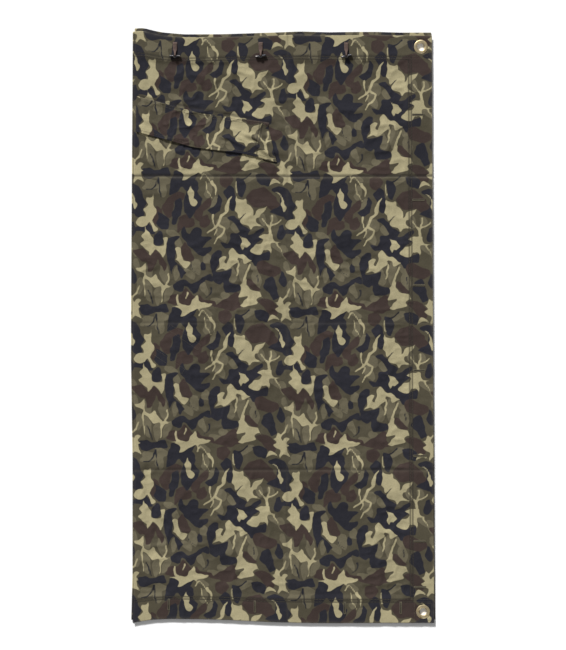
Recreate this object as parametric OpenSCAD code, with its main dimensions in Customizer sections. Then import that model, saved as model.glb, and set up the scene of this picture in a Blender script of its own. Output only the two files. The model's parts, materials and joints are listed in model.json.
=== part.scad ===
// Square canvas field sheet, folded once down its middle and laid flat.
//
// Frame: X runs across the folded sheet, away from the fold.
//        Y runs along the fold.
//        Z points up, and the floor is z = 0.
// The origin is the middle of the folded sheet's outline, on the floor.
// The lower leaf lies on the floor, and the upper leaf lies on the lower leaf.

/* [Sheet] */
// Length of each leaf along the fold
leaf_l = 1790; // [1600:10:2000]
// Width of the upper leaf at its top end
upper_w_top = 916; // [900:1:930]
// Width of the upper leaf at its bottom end
upper_w_bottom = 923; // [900:1:940]
// Width of the lower leaf at its top end
lower_w_top = 914; // [900:1:930]
// Width of the lower leaf at its bottom end
lower_w_bottom = 926; // [926:1:950]
// How far the lower leaf sits above the upper leaf along the fold
leaf_shift = 10; // [0:1:20]
// Thickness of one layer of canvas
cloth_t = 1; // [0.6:0.1:1.2]
// Clear space between the two leaves where they are thickest
leaf_gap = 0.4; // [0.3:0.1:1]

/* [Hems] */
// Width of the hems turned to the inside along the three open edges
hem_w = 76; // [50:1:80]
// Thickness of the patches behind the grommets
patch_t = 0.8; // [0.6:0.1:1]
// Radius of the outer corners of the leaves
corner_r = 5; // [1:1:12]

/* [Grommets] */
// Radius of the hole through a grommet
grommet_hole_r = 11.5; // [8:0.5:13]
// Outer radius of a grommet's flange
grommet_flange_r = 21; // [18:0.5:24]
// Wall thickness of a grommet's barrel
grommet_wall = 1.2; // [0.8:0.1:1.5]
// Outer radius of the washer inside the leaf
washer_r = 18; // [16:0.5:20]
// Height of the rolled dome on an upper grommet
grommet_dome = 1; // [0.5:0.1:1.5]
// Distance from the leaf's edges to the middle of a grommet
grommet_inset = 34; // [28:1:40]

/* [Toggles] */
// Length of a toggle bar
toggle_l = 33; // [26:1:40]
// Radius of a toggle bar
toggle_r = 3.2; // [2.5:0.1:4]
// Outer radius of the eye in the middle of a toggle bar
toggle_eye_r = 5.4; // [5:0.1:6]
// Width of the tape that holds a toggle
tab_w = 13; // [10:1:16]
// Distance between neighbouring toggles
toggle_pitch = 261; // [240:1:280]
// Distance from the fold to the first toggle
toggle_first = 133; // [110:1:150]

/* [Arm slit] */
// Length of the slit in the upper leaf
slit_l = 340; // [280:10:380]
// Width of the cut, which lies closed
slit_gap = 1.2; // [1:0.1:2]
// Width of the strip that backs the slit
slit_facing_w = 44; // [30:1:60]
// Slope of the flap across the sheet, in degrees
flap_slope = -10.9; // [-14:0.1:-8]
// Length of the flap along its sewn edge
flap_l = 412; // [380:1:430]
// Width of the loose part of the flap
flap_w = 92; // [80:1:110]
// Width of the flap's sewn margin
flap_margin_w = 14; // [8:1:20]

/* [Inner tapes] */
// Length of the two tapes sewn inside the upper leaf
inner_tape_l = 118; // [100:1:130]
// Width of those tapes
inner_tape_w = 23; // [18:1:28]
// Distance between the middles of the two tapes
inner_tape_gap = 87; // [70:1:100]
// Slope of those tapes across the sheet, in degrees
inner_tape_slope = -34.5; // [-40:0.5:-30]

/* [Buttonholes] */
// Length of a buttonhole
buttonhole_l = 33; // [28:1:38]
// Width of a buttonhole's cut
buttonhole_cut = 1.4; // [1:0.1:2]
// Width of the thread rim around a buttonhole
buttonhole_rim = 3; // [2:0.5:4]
// Distance between neighbouring buttonholes on the side hem
buttonhole_pitch = 260; // [240:1:270]

/* [Hidden] */
$fn = 64;

canvas_brown = [0.29, 0.26, 0.22];
canvas_olive = [0.36, 0.34, 0.27];
canvas_reverse = [0.50, 0.47, 0.38];
tape_brown = [0.42, 0.34, 0.31];
thread_sand = [0.62, 0.58, 0.46];
brass = [0.85, 0.72, 0.45];
dark_steel = [0.25, 0.25, 0.27];

// Clear space between parts that fit together, and between parts that rest on each other.
fit_gap = 0.2;
rest_gap = 0.3;
// How far a cutting shape runs past what it cuts.
over = 1;

// Heights of the layers. A leaf is a panel, a hem turn and a patch, face to face.
leaf_t = 2 * cloth_t + patch_t;
axis_z = leaf_t + leaf_gap / 2;
top_z = 2 * axis_z;

// The fold is a half round of cloth whose middle is the hinge line.
fold_x = -lower_w_bottom / 2;
axis_x = fold_x + axis_z;
panel_x = axis_x + axis_z + rest_gap;

// Ends of the two leaves along Y.
upper_y0 = -(leaf_l + leaf_shift) / 2;
upper_y1 = upper_y0 + leaf_l;
lower_y0 = upper_y0 + leaf_shift;
lower_y1 = lower_y0 + leaf_l;

// Each leaf is described by [bottom y, top y, width at the bottom, width at the top].
upper_leaf = [upper_y0, upper_y1, upper_w_bottom, upper_w_top];
lower_leaf = [lower_y0, lower_y1, lower_w_bottom, lower_w_top];

// The grommets of both leaves share one axis at each end, so a peg passes through both.
grommet_y_top = upper_y1 - grommet_inset;
grommet_y_bottom = upper_y0 + grommet_inset;
grommet_x_top = edge_x(upper_leaf, grommet_y_top) - grommet_inset;
grommet_x_bottom = edge_x(upper_leaf, grommet_y_bottom) - grommet_inset;
flange_t = 0.8;
// Space from a patch's edge to the edge of the leaf.
patch_inset = 4;

// Toggle loops: sewn root, flat tape and a narrow loop through the toggle's eye.
root_l = 12;
tab_flat_l = 12;
tab_y = upper_y1 - 20;
tab_hinge_y = tab_y - root_l;
tab_reach = 31;
toggle_y = tab_hinge_y - tab_reach;
ply_t = 0.8;
loop_w = 5;
strand_r = 2.4;
eye_gap = 0.1;
eye_lip = 0.1;
// Length of the level part of the upper ply, behind the toggle's eye.
loop_flat_l = 8;
// How far the narrow plies run into the wide tape.
loop_lap = 2;
tab_z = top_z + rest_gap;
toggle_z = tab_z + ply_t + rest_gap + toggle_r;
loop_top_z = toggle_z + toggle_r + rest_gap;
toggle_tilts = [0, 9, 14];

// The flap hinges where its sewn margin ends.
flap_t = cloth_t;
flap_x = fold_x + 12;
flap_y = 690;
// The flap's far end: how far it runs past the sewn edge, drops below the near end, and where the drop starts.
flap_far = 46;
flap_drop = 8;
flap_drop_from = 110;
flap_end_r = 12;
// Distance from the flap's near end to the slit, and the slit's backing beyond its ends.
slit_inset = 32;
slit_border = 18;

// First inner tape, and the step from it to the second.
tape_x = -302;
tape_y = -29;

// Buttonholes: four across the bottom hem and seven down the side hem.
// Distances from the leaf's edge to the middle of each row.
bottom_row_inset = 46;
side_row_inset = 43;
bottom_hole_x = [-349, -87, 187, 358];
side_hole_first_y = 649;
side_hole_y = [for (i = [0:5]) side_hole_first_y - i * buttonhole_pitch, -791];
rim_t = 0.5;

// Right-hand edge of a leaf at height y, on the straight line between its two widths.
function edge_x(leaf, y) =
    fold_x + leaf[2] + (leaf[3] - leaf[2]) * (y - leaf[0]) / (leaf[1] - leaf[0]);

// Layer heights, bottom of the layer, for the lower leaf (side = 0) and upper leaf (side = 1).
function panel_z(side) = side == 0 ? 0 : top_z - cloth_t;
function hem_z(side) = side == 0 ? cloth_t : top_z - 2 * cloth_t;
function patch_z(side) = side == 0 ? 2 * cloth_t : top_z - leaf_t;

// Quarter circle of radius r round a corner's middle, starting at angle a0.
function corner_arc(x, y, r, a0) =
    [for (i = [0:4]) [x + r * cos(a0 + 22.5 * i), y + r * sin(a0 + 22.5 * i)]];

// Outline of a leaf between two heights, from x_from to its slanting edge.
// The open corners of the leaf are round.
module leaf_outline(leaf, x_from, y_from, y_to) {
    r_from = y_from == leaf[0] ? corner_r : 0;
    r_to = y_to == leaf[1] ? corner_r : 0;
    x0 = edge_x(leaf, y_from);
    x1 = edge_x(leaf, y_to);
    polygon(concat(
        [[x_from, y_from]],
        r_from > 0 ? corner_arc(x0 - r_from, y_from + r_from, r_from, -90) : [[x0, y_from]],
        r_to > 0 ? corner_arc(x1 - r_to, y_to - r_to, r_to, 0) : [[x1, y_to]],
        [[x_from, y_to]]
    ));
}

// Holes for the two grommets of a leaf, cut through everything at radius r.
module grommet_cuts(r, z = -over, h = top_z + 2 * over) {
    for (at = [[grommet_x_top, grommet_y_top], [grommet_x_bottom, grommet_y_bottom]])
        translate([at[0], at[1], z])
            cylinder(r = r, h = h);
}

// Seats pressed into the cloth under the grommet flanges.
module flange_seats(side) {
    seat_r = grommet_flange_r + fit_gap;
    if (side == 0)
        grommet_cuts(seat_r, -over, over + flange_t);
    else
        grommet_cuts(seat_r, top_z - flange_t + fit_gap, flange_t + over);
}

// The cuts of all buttonholes in one leaf.
module buttonhole_cuts() {
    for (x = bottom_hole_x)
        translate([x - buttonhole_cut / 2, hole_row_y() - buttonhole_l / 2, -over])
            cube([buttonhole_cut, buttonhole_l, top_z + 2 * over]);
    for (y = side_hole_y)
        translate([hole_row_x(y) - buttonhole_l / 2, y - buttonhole_cut / 2, -over])
            cube([buttonhole_l, buttonhole_cut, top_z + 2 * over]);
}

// Buttonholes of both leaves lie over each other, in the middle of the upper leaf's hems.
function hole_row_y() = upper_y0 + bottom_row_inset;
function hole_row_x(y) = edge_x(upper_leaf, y) - side_row_inset;

// Places its children at the arm slit, with X along the slit.
module at_slit() {
    translate([flap_x, flap_y, 0])
        rotate(flap_slope)
            translate([slit_inset, -flap_w / 2, 0])
                children();
}

module panel(leaf, side) {
    difference() {
        translate([0, 0, panel_z(side)])
            linear_extrude(cloth_t)
                leaf_outline(leaf, panel_x, leaf[0], leaf[1]);
        grommet_cuts(grommet_hole_r + grommet_wall + fit_gap);
        flange_seats(side);
        buttonhole_cuts();
        if (side == 1)
            at_slit()
                translate([0, -slit_gap / 2, 0])
                    cube([slit_l, slit_gap, top_z + over]);
    }
}

// Hem turn along the top or bottom edge, full width of the leaf.
module end_hem(leaf, side, y_from) {
    difference() {
        translate([0, 0, hem_z(side)])
            linear_extrude(cloth_t)
                leaf_outline(leaf, panel_x, y_from, y_from + hem_w);
        grommet_cuts(grommet_hole_r + grommet_wall + fit_gap);
        buttonhole_cuts();
    }
}

// Hem turn along the side edge, between the two end hems.
module side_hem(leaf, side) {
    y_from = leaf[0] + hem_w + fit_gap;
    y_to = leaf[1] - hem_w - fit_gap;
    difference() {
        translate([0, 0, hem_z(side)])
            linear_extrude(cloth_t)
                polygon([
                    [edge_x(leaf, y_from) - hem_w, y_from],
                    [edge_x(leaf, y_from), y_from],
                    [edge_x(leaf, y_to), y_to],
                    [edge_x(leaf, y_to) - hem_w, y_to]
                ]);
        buttonhole_cuts();
    }
}

// Square patch behind a grommet, with a round seat for the washer.
module corner_patch(side, x, y) {
    half = grommet_inset - patch_inset;
    difference() {
        translate([x - half, y - half, patch_z(side)])
            cube([2 * half, 2 * half, patch_t]);
        translate([x, y, -over])
            cylinder(r = washer_r + fit_gap, h = top_z + 2 * over);
    }
}

// Grommet: barrel, flat flange seated in the cloth and, on the upper leaf, a rolled dome.
module grommet(side, x, y) {
    barrel_z = patch_z(side);
    flange_z = side == 0 ? 0 : top_z - flange_t + fit_gap;
    barrel_h = side == 0 ? leaf_t : flange_z + flange_t - barrel_z;
    dome_w = grommet_flange_r - grommet_hole_r;
    dome_r = (dome_w * dome_w / 4 + grommet_dome * grommet_dome) / (2 * grommet_dome);
    translate([x, y, 0])
        rotate_extrude()
            union() {
                translate([grommet_hole_r, side == 0 ? 0 : barrel_z])
                    square([grommet_wall, barrel_h]);
                translate([grommet_hole_r, flange_z])
                    square([dome_w, flange_t]);
                if (side == 1)
                    intersection() {
                        translate([grommet_hole_r + dome_w / 2, flange_z + flange_t + grommet_dome - dome_r])
                            circle(dome_r, $fn = 96);
                        translate([grommet_hole_r, flange_z + flange_t])
                            square([dome_w, grommet_dome + over]);
                    }
            }
}

// Washer on the inner face, round the end of the barrel.
module washer(side, x, y) {
    translate([x, y, patch_z(side)])
        difference() {
            cylinder(r = washer_r, h = patch_t);
            translate([0, 0, -over])
                cylinder(r = grommet_hole_r + grommet_wall + fit_gap / 2, h = patch_t + 2 * over);
        }
}

// Raised thread rim round one buttonhole, long way along X.
module buttonhole_frame() {
    outer_l = buttonhole_l + 2 * buttonhole_rim;
    outer_w = buttonhole_cut + 2 * buttonhole_rim;
    difference() {
        translate([-outer_l / 2, -outer_w / 2, 0])
            cube([outer_l, outer_w, rim_t]);
        translate([-buttonhole_l / 2, -buttonhole_cut / 2, -over])
            cube([buttonhole_l, buttonhole_cut, rim_t + 2 * over]);
    }
}

// Rims stand on the upper leaf's outer face and on the lower leaf's inner face.
function rim_z(side) = side == 0 ? 2 * cloth_t : top_z;

module side_buttonholes(side) {
    for (y = side_hole_y)
        translate([hole_row_x(y), y, rim_z(side)])
            buttonhole_frame();
}

module bottom_buttonholes(side) {
    for (x = bottom_hole_x)
        translate([x, hole_row_y(), rim_z(side)])
            rotate(90)
                buttonhole_frame();
}

// Half round of cloth that joins the leaves. Its lower end meets the lower panel.
// Its upper end stops over the hinge line, so the upper panel can swing past it.
module fold_edge() {
    fold_l = leaf_l - leaf_shift;
    color(canvas_brown)
        translate([axis_x, lower_y0, 0]) {
            translate([0, 0, axis_z])
                rotate([-90, 0, 0])
                    difference() {
                        cylinder(r = axis_z, h = fold_l);
                        translate([0, 0, -over])
                            cylinder(r = axis_z - cloth_t, h = fold_l + 2 * over);
                        translate([0, -axis_z - over, -over])
                            cube([axis_z + over, 2 * (axis_z + over), fold_l + 2 * over]);
                    }
            cube([panel_x - axis_x, fold_l, cloth_t]);
        }
}

module inner_tape(place) {
    color(tape_brown)
        translate([tape_x, tape_y, panel_z(1) - ply_t])
            rotate(inner_tape_slope)
                translate([-inner_tape_l / 2, -inner_tape_w / 2 - place * inner_tape_gap, 0])
                    cube([inner_tape_l, inner_tape_w, ply_t]);
}

// Strip of canvas that backs the slit, cut along its middle with it.
module slit_facing() {
    color(canvas_reverse)
        at_slit()
            translate([0, 0, hem_z(1)])
                difference() {
                    translate([-slit_border, -slit_facing_w / 2, 0])
                        cube([slit_l + 2 * slit_border, slit_facing_w, cloth_t]);
                    translate([0, -slit_gap / 2, -over])
                        cube([slit_l, slit_gap, cloth_t + 2 * over]);
                }
}

// Sewn margin of the flap, along the top of its loose part.
module flap_margin() {
    color(canvas_olive)
        translate([flap_x, flap_y, top_z])
            rotate(flap_slope)
                translate([0, rest_gap, 0])
                    cube([flap_l, flap_margin_w, flap_t]);
}

// Loose part of the flap: it runs on past its sewn edge and widens towards its far end.
module slit_flap() {
    far_x = flap_l + flap_far;
    far_y = -flap_w - flap_drop;
    color(canvas_olive)
        translate([flap_x, flap_y, top_z + rest_gap])
            rotate(flap_slope)
                linear_extrude(flap_t)
                    polygon(concat(
                        [[0, 0], [flap_w * tan(-flap_slope), -flap_w]],
                        [[far_x - flap_drop_from, -flap_w]],
                        corner_arc(far_x - flap_end_r, far_y + flap_end_r, flap_end_r, -90),
                        [[flap_l, 0]]
                    ));
}

// Toggle n of the row, counted from the fold.
function toggle_x(n) = fold_x + toggle_first + (n - 1) * toggle_pitch;

// Sewn ends of the three toggle tapes.
module toggle_roots() {
    color(tape_brown)
        for (n = [1:3])
            translate([toggle_x(n) - tab_w / 2, tab_hinge_y + rest_gap, top_z])
                cube([tab_w, root_l - rest_gap, 2 * ply_t]);
}

// Flat tape, then two narrow plies that pass over and under the bar and meet in its eye.
module toggle_tab(n) {
    color(tape_brown)
        translate([toggle_x(n), 0, 0]) {
            translate([-tab_w / 2, tab_hinge_y - tab_flat_l, tab_z])
                cube([tab_w, tab_flat_l, 2 * ply_t]);
            translate([-loop_w / 2, 0, 0])
                rotate([90, 0, 90])
                    linear_extrude(loop_w)
                        union() {
                            polygon([
                                [tab_hinge_y - tab_flat_l + loop_lap, tab_z],
                                [toggle_y, tab_z],
                                [toggle_y, tab_z + ply_t],
                                [tab_hinge_y - tab_flat_l + loop_lap, tab_z + ply_t]
                            ]);
                            polygon([
                                [tab_hinge_y - tab_flat_l + loop_lap, tab_z + ply_t],
                                [tab_hinge_y - tab_flat_l + loop_lap, tab_z + 2 * ply_t],
                                [toggle_y + loop_flat_l, loop_top_z + ply_t],
                                [toggle_y, loop_top_z + ply_t],
                                [toggle_y, loop_top_z],
                                [toggle_y + loop_flat_l, loop_top_z]
                            ]);
                        }
            translate([0, toggle_y, tab_z])
                cylinder(r = loop_w / 2, h = ply_t);
            translate([0, toggle_y, tab_z])
                cylinder(r = strand_r, h = loop_top_z + ply_t - tab_z);
            translate([0, toggle_y, loop_top_z])
                cylinder(r = loop_w / 2, h = ply_t);
        }
}

// Half outline of a toggle bar, from its middle line out to its rounded end edges.
module toggle_profile() {
    end_round = 2;
    polygon(concat(
        [[0, -toggle_l / 2]],
        corner_arc(toggle_r - end_round, -toggle_l / 2 + end_round, end_round, -90),
        corner_arc(toggle_r - end_round, toggle_l / 2 - end_round, end_round, 0),
        [[0, toggle_l / 2]]
    ));
}

// Toggle: a round bar with rounded ends and a flat eye in its middle.
module toggle(n) {
    color(dark_steel)
        translate([toggle_x(n), toggle_y, toggle_z])
            rotate(toggle_tilts[n - 1])
                difference() {
                    union() {
                        rotate([0, 90, 0])
                            rotate_extrude()
                                toggle_profile();
                        translate([0, 0, -toggle_r - eye_lip])
                            cylinder(r = toggle_eye_r, h = 2 * (toggle_r + eye_lip));
                    }
                    translate([0, 0, -toggle_r - over])
                        cylinder(r = strand_r + eye_gap, h = 2 * (toggle_r + over));
                }
}

module lower_panel() { color(canvas_olive) panel(lower_leaf, 0); }
module lower_top_hem() { color(canvas_reverse) end_hem(lower_leaf, 0, lower_y1 - hem_w); }
module lower_side_hem() { color(canvas_reverse) side_hem(lower_leaf, 0); }
module lower_bottom_hem() { color(canvas_reverse) end_hem(lower_leaf, 0, lower_y0); }
module lower_corner_patch_top() { color(tape_brown) corner_patch(0, grommet_x_top, grommet_y_top); }
module lower_corner_patch_bottom() { color(tape_brown) corner_patch(0, grommet_x_bottom, grommet_y_bottom); }
module lower_grommet_top() { color(brass) grommet(0, grommet_x_top, grommet_y_top); }
module lower_grommet_bottom() { color(brass) grommet(0, grommet_x_bottom, grommet_y_bottom); }
module lower_washer_top() { color(brass) washer(0, grommet_x_top, grommet_y_top); }
module lower_washer_bottom() { color(brass) washer(0, grommet_x_bottom, grommet_y_bottom); }
module lower_side_buttonholes() { color(thread_sand) side_buttonholes(0); }
module lower_bottom_buttonholes() { color(thread_sand) bottom_buttonholes(0); }
module upper_panel() { color(canvas_brown) panel(upper_leaf, 1); }
module upper_top_hem() { color(canvas_reverse) end_hem(upper_leaf, 1, upper_y1 - hem_w); }
module upper_side_hem() { color(canvas_reverse) side_hem(upper_leaf, 1); }
module upper_bottom_hem() { color(canvas_reverse) end_hem(upper_leaf, 1, upper_y0); }
module upper_corner_patch_top() { color(tape_brown) corner_patch(1, grommet_x_top, grommet_y_top); }
module upper_corner_patch_bottom() { color(tape_brown) corner_patch(1, grommet_x_bottom, grommet_y_bottom); }
module upper_grommet_top() { color(brass) grommet(1, grommet_x_top, grommet_y_top); }
module upper_grommet_bottom() { color(brass) grommet(1, grommet_x_bottom, grommet_y_bottom); }
module upper_washer_top() { color(brass) washer(1, grommet_x_top, grommet_y_top); }
module upper_washer_bottom() { color(brass) washer(1, grommet_x_bottom, grommet_y_bottom); }
module upper_side_buttonholes() { color(thread_sand) side_buttonholes(1); }
module upper_bottom_buttonholes() { color(thread_sand) bottom_buttonholes(1); }

lower_panel();
lower_top_hem();
lower_side_hem();
lower_bottom_hem();
lower_corner_patch_top();
lower_corner_patch_bottom();
lower_grommet_top();
lower_grommet_bottom();
lower_washer_top();
lower_washer_bottom();
lower_side_buttonholes();
lower_bottom_buttonholes();
fold_edge();
upper_panel();
upper_top_hem();
upper_side_hem();
upper_bottom_hem();
upper_corner_patch_top();
upper_corner_patch_bottom();
upper_grommet_top();
upper_grommet_bottom();
upper_washer_top();
upper_washer_bottom();
upper_side_buttonholes();
upper_bottom_buttonholes();
inner_tape(0);  // inner_tape_1
inner_tape(1);  // inner_tape_2
slit_facing();
flap_margin();
slit_flap();
toggle_roots();
toggle_tab(1);  // toggle_tab_1
toggle_tab(2);  // toggle_tab_2
toggle_tab(3);  // toggle_tab_3
toggle(1);  // toggle_1
toggle(2);  // toggle_2
toggle(3);  // toggle_3
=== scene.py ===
"""Looks of a folded camouflage canvas field sheet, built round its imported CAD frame.

Units are metres, in the frame of the CAD model: X runs across the folded sheet, away from the fold,
Y runs along the fold towards the toggles, and Z points up from the floor.
"""

import json
import math

import bmesh
import bpy
import numpy as np
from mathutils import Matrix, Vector


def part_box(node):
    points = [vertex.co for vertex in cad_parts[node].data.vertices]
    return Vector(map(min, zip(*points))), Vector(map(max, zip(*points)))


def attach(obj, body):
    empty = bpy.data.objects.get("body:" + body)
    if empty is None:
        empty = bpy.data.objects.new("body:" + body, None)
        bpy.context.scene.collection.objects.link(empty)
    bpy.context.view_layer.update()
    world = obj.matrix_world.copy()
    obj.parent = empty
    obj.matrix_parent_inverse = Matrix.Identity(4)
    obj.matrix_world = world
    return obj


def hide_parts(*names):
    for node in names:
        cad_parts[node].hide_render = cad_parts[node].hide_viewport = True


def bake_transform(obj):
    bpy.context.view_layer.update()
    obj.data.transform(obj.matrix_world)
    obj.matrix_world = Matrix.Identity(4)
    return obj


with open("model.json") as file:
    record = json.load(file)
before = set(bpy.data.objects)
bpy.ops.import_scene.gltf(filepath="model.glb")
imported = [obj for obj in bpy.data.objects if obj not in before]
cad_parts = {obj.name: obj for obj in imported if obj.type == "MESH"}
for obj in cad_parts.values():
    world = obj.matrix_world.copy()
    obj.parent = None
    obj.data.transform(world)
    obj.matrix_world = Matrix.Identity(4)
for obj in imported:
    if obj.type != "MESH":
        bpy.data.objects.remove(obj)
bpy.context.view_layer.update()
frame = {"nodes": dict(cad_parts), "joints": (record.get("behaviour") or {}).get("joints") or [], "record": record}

MM = 0.001


# ---------------------------------------------------------------------------
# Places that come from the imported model
# ---------------------------------------------------------------------------

def mount_place(name):
    """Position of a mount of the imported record."""
    found = next(m for m in frame["record"]["mounts"] if m["name"] == name)
    return Vector(found["pos_m"])


def joint_named(name):
    """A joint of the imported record."""
    return next(j for j in frame["joints"] if j["name"] == name)


class Leaf:
    """Outline of one leaf: a straight side at the fold and a slightly slanting open side."""

    def __init__(self, side):
        top_low, top_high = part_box(f"{side}_top_hem")
        end_low, end_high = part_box(f"{side}_bottom_hem")
        self.bottom = end_low.y
        self.top = top_high.y
        self.slope = (top_high.x - end_high.x) / (top_low.y - end_low.y)
        self.edge_at_bottom = end_high.x
        self.hem_width = end_high.y - end_low.y

    def edge(self, y):
        """X of the open side at height y."""
        return self.edge_at_bottom + self.slope * (y - self.bottom)


UPPER = Leaf("upper")
LOWER = Leaf("lower")
FOLD_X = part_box("fold_edge")[0].x
AXIS = Vector(joint_named("leaf_fold")["pos_m"])
UPPER_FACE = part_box("upper_panel")[1].z
GROMMETS = [mount_place("corner_hole_top"), mount_place("corner_hole_bottom")]
FLANGE_R = (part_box("upper_grommet_top")[1].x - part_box("upper_grommet_top")[0].x) / 2
TOGGLES = [Vector(joint_named(f"toggle_{n}_turn")["pos_m"]) for n in (1, 2, 3)]
FLAP_HINGE = Vector(joint_named("flap_lift")["pos_m"])
FLAP_ALONG = -Vector(joint_named("flap_lift")["axis"])

# The strip of cloth that bends at the fold reaches this far from the hinge line.
STRIP_W = 3 * MM
SHEET_X = AXIS.x + STRIP_W

# One layer of cloth. Its face is divided FINE times as finely as its back.
CLOTH_T = 0.75 * MM
FINE = 3
CELL = 12 * MM
RIM_CELL = 3 * MM


# ---------------------------------------------------------------------------
# Numbers shared by the cloth shapes
# ---------------------------------------------------------------------------

def smooth(t):
    """Smooth step from 0 to 1."""
    t = np.clip(t, 0.0, 1.0)
    return t * t * (3 - 2 * t)


def along_curve(at, places):
    """Smooth curve through a few (position, value) pairs."""
    xs, values = zip(*places)
    step = 6 * MM
    samples = np.arange(xs[0], xs[-1] + step, step)
    raw = np.interp(samples, xs, values)
    window = np.hanning(9)
    padded = np.pad(raw, 4, mode="edge")
    return np.interp(at, samples, np.convolve(padded, window / window.sum(), "valid"))


def soft_noise(x, y, cell, seed, cells=64):
    """Smooth random relief from -1 to 1, with bumps about one cell wide, repeated every so many cells."""
    grid = np.random.default_rng(seed).uniform(-1, 1, (cells, cells))
    u = np.asarray(x) / cell + 7.3
    v = np.asarray(y) / cell + 3.1
    i = np.floor(u).astype(int)
    j = np.floor(v).astype(int)
    fu = smooth(u - i)
    fv = smooth(v - j)
    return between_cells(grid, i, j, fu, fv)


def between_cells(grid, i, j, fu, fv):
    """Value of a grid that repeats, at shares fu and fv of the way from cell (i, j) to the next."""
    across, down = grid.shape
    low = grid[i % across, j % down] * (1 - fu) + grid[(i + 1) % across, j % down] * fu
    high = grid[i % across, (j + 1) % down] * (1 - fu) + grid[(i + 1) % across, (j + 1) % down] * fu
    return low * (1 - fv) + high * fv


# ---------------------------------------------------------------------------
# The camouflage print: outlines in hundredths of one repeat, traced from the photograph
# ---------------------------------------------------------------------------

# The print repeats along these two steps, and one repeat starts at this place.
REPEAT_ACROSS = np.array([0.4560, -0.0083])
REPEAT_DOWN = np.array([-0.0049, -0.4150])
REPEAT_START = np.array([-0.443, 0.4465])

SAND = [
    [(11.5, 7), (9.5, 11), (5.5, 11.5), (5, 15), (6, 18), (3, 20.5), (5, 23), (5.5, 26), (1, 27),
     (-0.5, 30), (2, 33), (6.5, 32.5), (8, 30), (9.5, 33), (10.5, 37), (13.8, 35), (11, 31), (10, 28.5),
     (11.5, 24), (11.8, 20), (10, 17), (10.3, 12)],
    [(5, 32.5), (4.5, 37), (3.2, 41), (5, 44), (2, 46.5), (4.5, 50), (7.5, 51.5), (8.5, 55.5),
     (10.5, 51.5), (12, 49), (14.5, 51.5), (17, 55), (19, 52), (19.3, 46), (20, 40.5), (17.3, 40.5),
     (18, 46.5), (14, 47.5), (11, 46), (11, 42), (8.5, 38), (6.5, 36)],
    [(35.5, 2), (34.5, 5.5), (33.3, 8), (34.5, 12), (35, 17), (38, 17.5), (39.8, 15), (37.7, 12),
     (38, 8), (36.5, 5)],
    [(25, 49), (26.3, 54), (25, 57), (28, 59), (32.5, 63), (35.5, 59), (31.5, 57), (29.5, 53),
     (28.5, 48)],
    [(66, 9), (68, 11.8), (72, 10.8), (72.5, 14.5), (76, 16.5), (78, 19), (77, 23.5), (79, 22),
     (81, 18.3), (84.5, 18.3), (86.8, 16), (85, 20), (83, 22.5), (82.5, 25), (80, 25.5), (80, 29),
     (84, 31), (77.5, 31.5), (76, 33.8), (74, 31), (70, 30.5), (69, 27), (72.8, 22), (68, 25.7),
     (65, 20), (66.5, 16)],
    [(67.8, 37), (70, 39.3), (73.5, 40), (75.5, 45), (73.5, 47.7), (71.5, 47.3), (69.8, 49.5),
     (69, 46.5), (69.7, 42)],
    [(76, 49.5), (79, 51.3), (82.5, 51.8), (83.5, 49.3), (87, 49.5), (89, 51.5), (90, 47), (90.3, 43.5),
     (96.5, 42.3), (92, 41.3), (90, 37), (86, 37.5), (81, 39.3), (84.5, 41.5), (83, 44), (79, 44.8)],
    [(53, 65), (55, 61), (54.8, 56), (57, 53), (59, 54), (58.7, 57.5), (60, 59), (60.7, 54), (61, 50),
     (64, 47.3), (66.5, 51), (71, 52.8), (76.5, 56.5), (72, 58.8), (70, 55.8), (67.5, 54.7), (66, 58.7),
     (62.5, 62), (59, 64), (56, 62.8)],
    [(71.5, 69), (73.8, 71), (73.5, 75), (76.5, 79), (82.5, 79.8), (84, 83), (86.5, 85.7), (82.5, 83),
     (80.5, 85), (81, 88), (75, 89.8), (69, 90.5), (72, 87), (74.7, 83.5), (68, 84.5), (69.5, 79.5),
     (69, 75.5), (70.8, 73)],
    [(95.3, 83), (98, 85), (99, 89), (101, 86), (103.3, 87.5), (102.3, 90.5), (104.3, 92.3),
     (101.5, 93.3), (102.3, 97), (104.5, 101.5), (99.5, 99), (97, 102), (96.5, 95), (92, 92), (94.3, 90),
     (92.3, 87.3), (95, 87.3)],
    [(88, 103), (89.3, 98), (90.5, 95.3), (94, 97), (96.3, 100.5), (92.5, 98.8), (90, 99.7)],
    [(24, 91), (29, 90), (36, 89.3), (39.5, 82.5), (42.5, 88), (50.8, 89), (47, 92), (42.5, 93.5),
     (43, 98), (40, 93), (36.5, 95), (31, 99.5), (29.3, 99), (29.8, 95), (27.5, 92)],
    [(-1, 64.5), (3, 63.3), (6.3, 60.5), (6.3, 68), (9.5, 71), (13, 67), (14.8, 71.5), (18, 75.7),
     (20.3, 74), (21, 75.5), (24.5, 76.5), (20.5, 77.7), (18.3, 82), (17.3, 88), (16, 89.5), (16.8, 82),
     (15.3, 77), (11.5, 78.5), (9, 74), (5.5, 72), (4.7, 68.5), (2.5, 67.5)],
    [(91.5, 6.3), (94.5, 7), (97, 10.5), (97.3, 13.5), (99.8, 17.5), (98, 21.5), (96.5, 17), (95.3, 16),
     (95.8, 11.5), (93.7, 8)],
]

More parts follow.
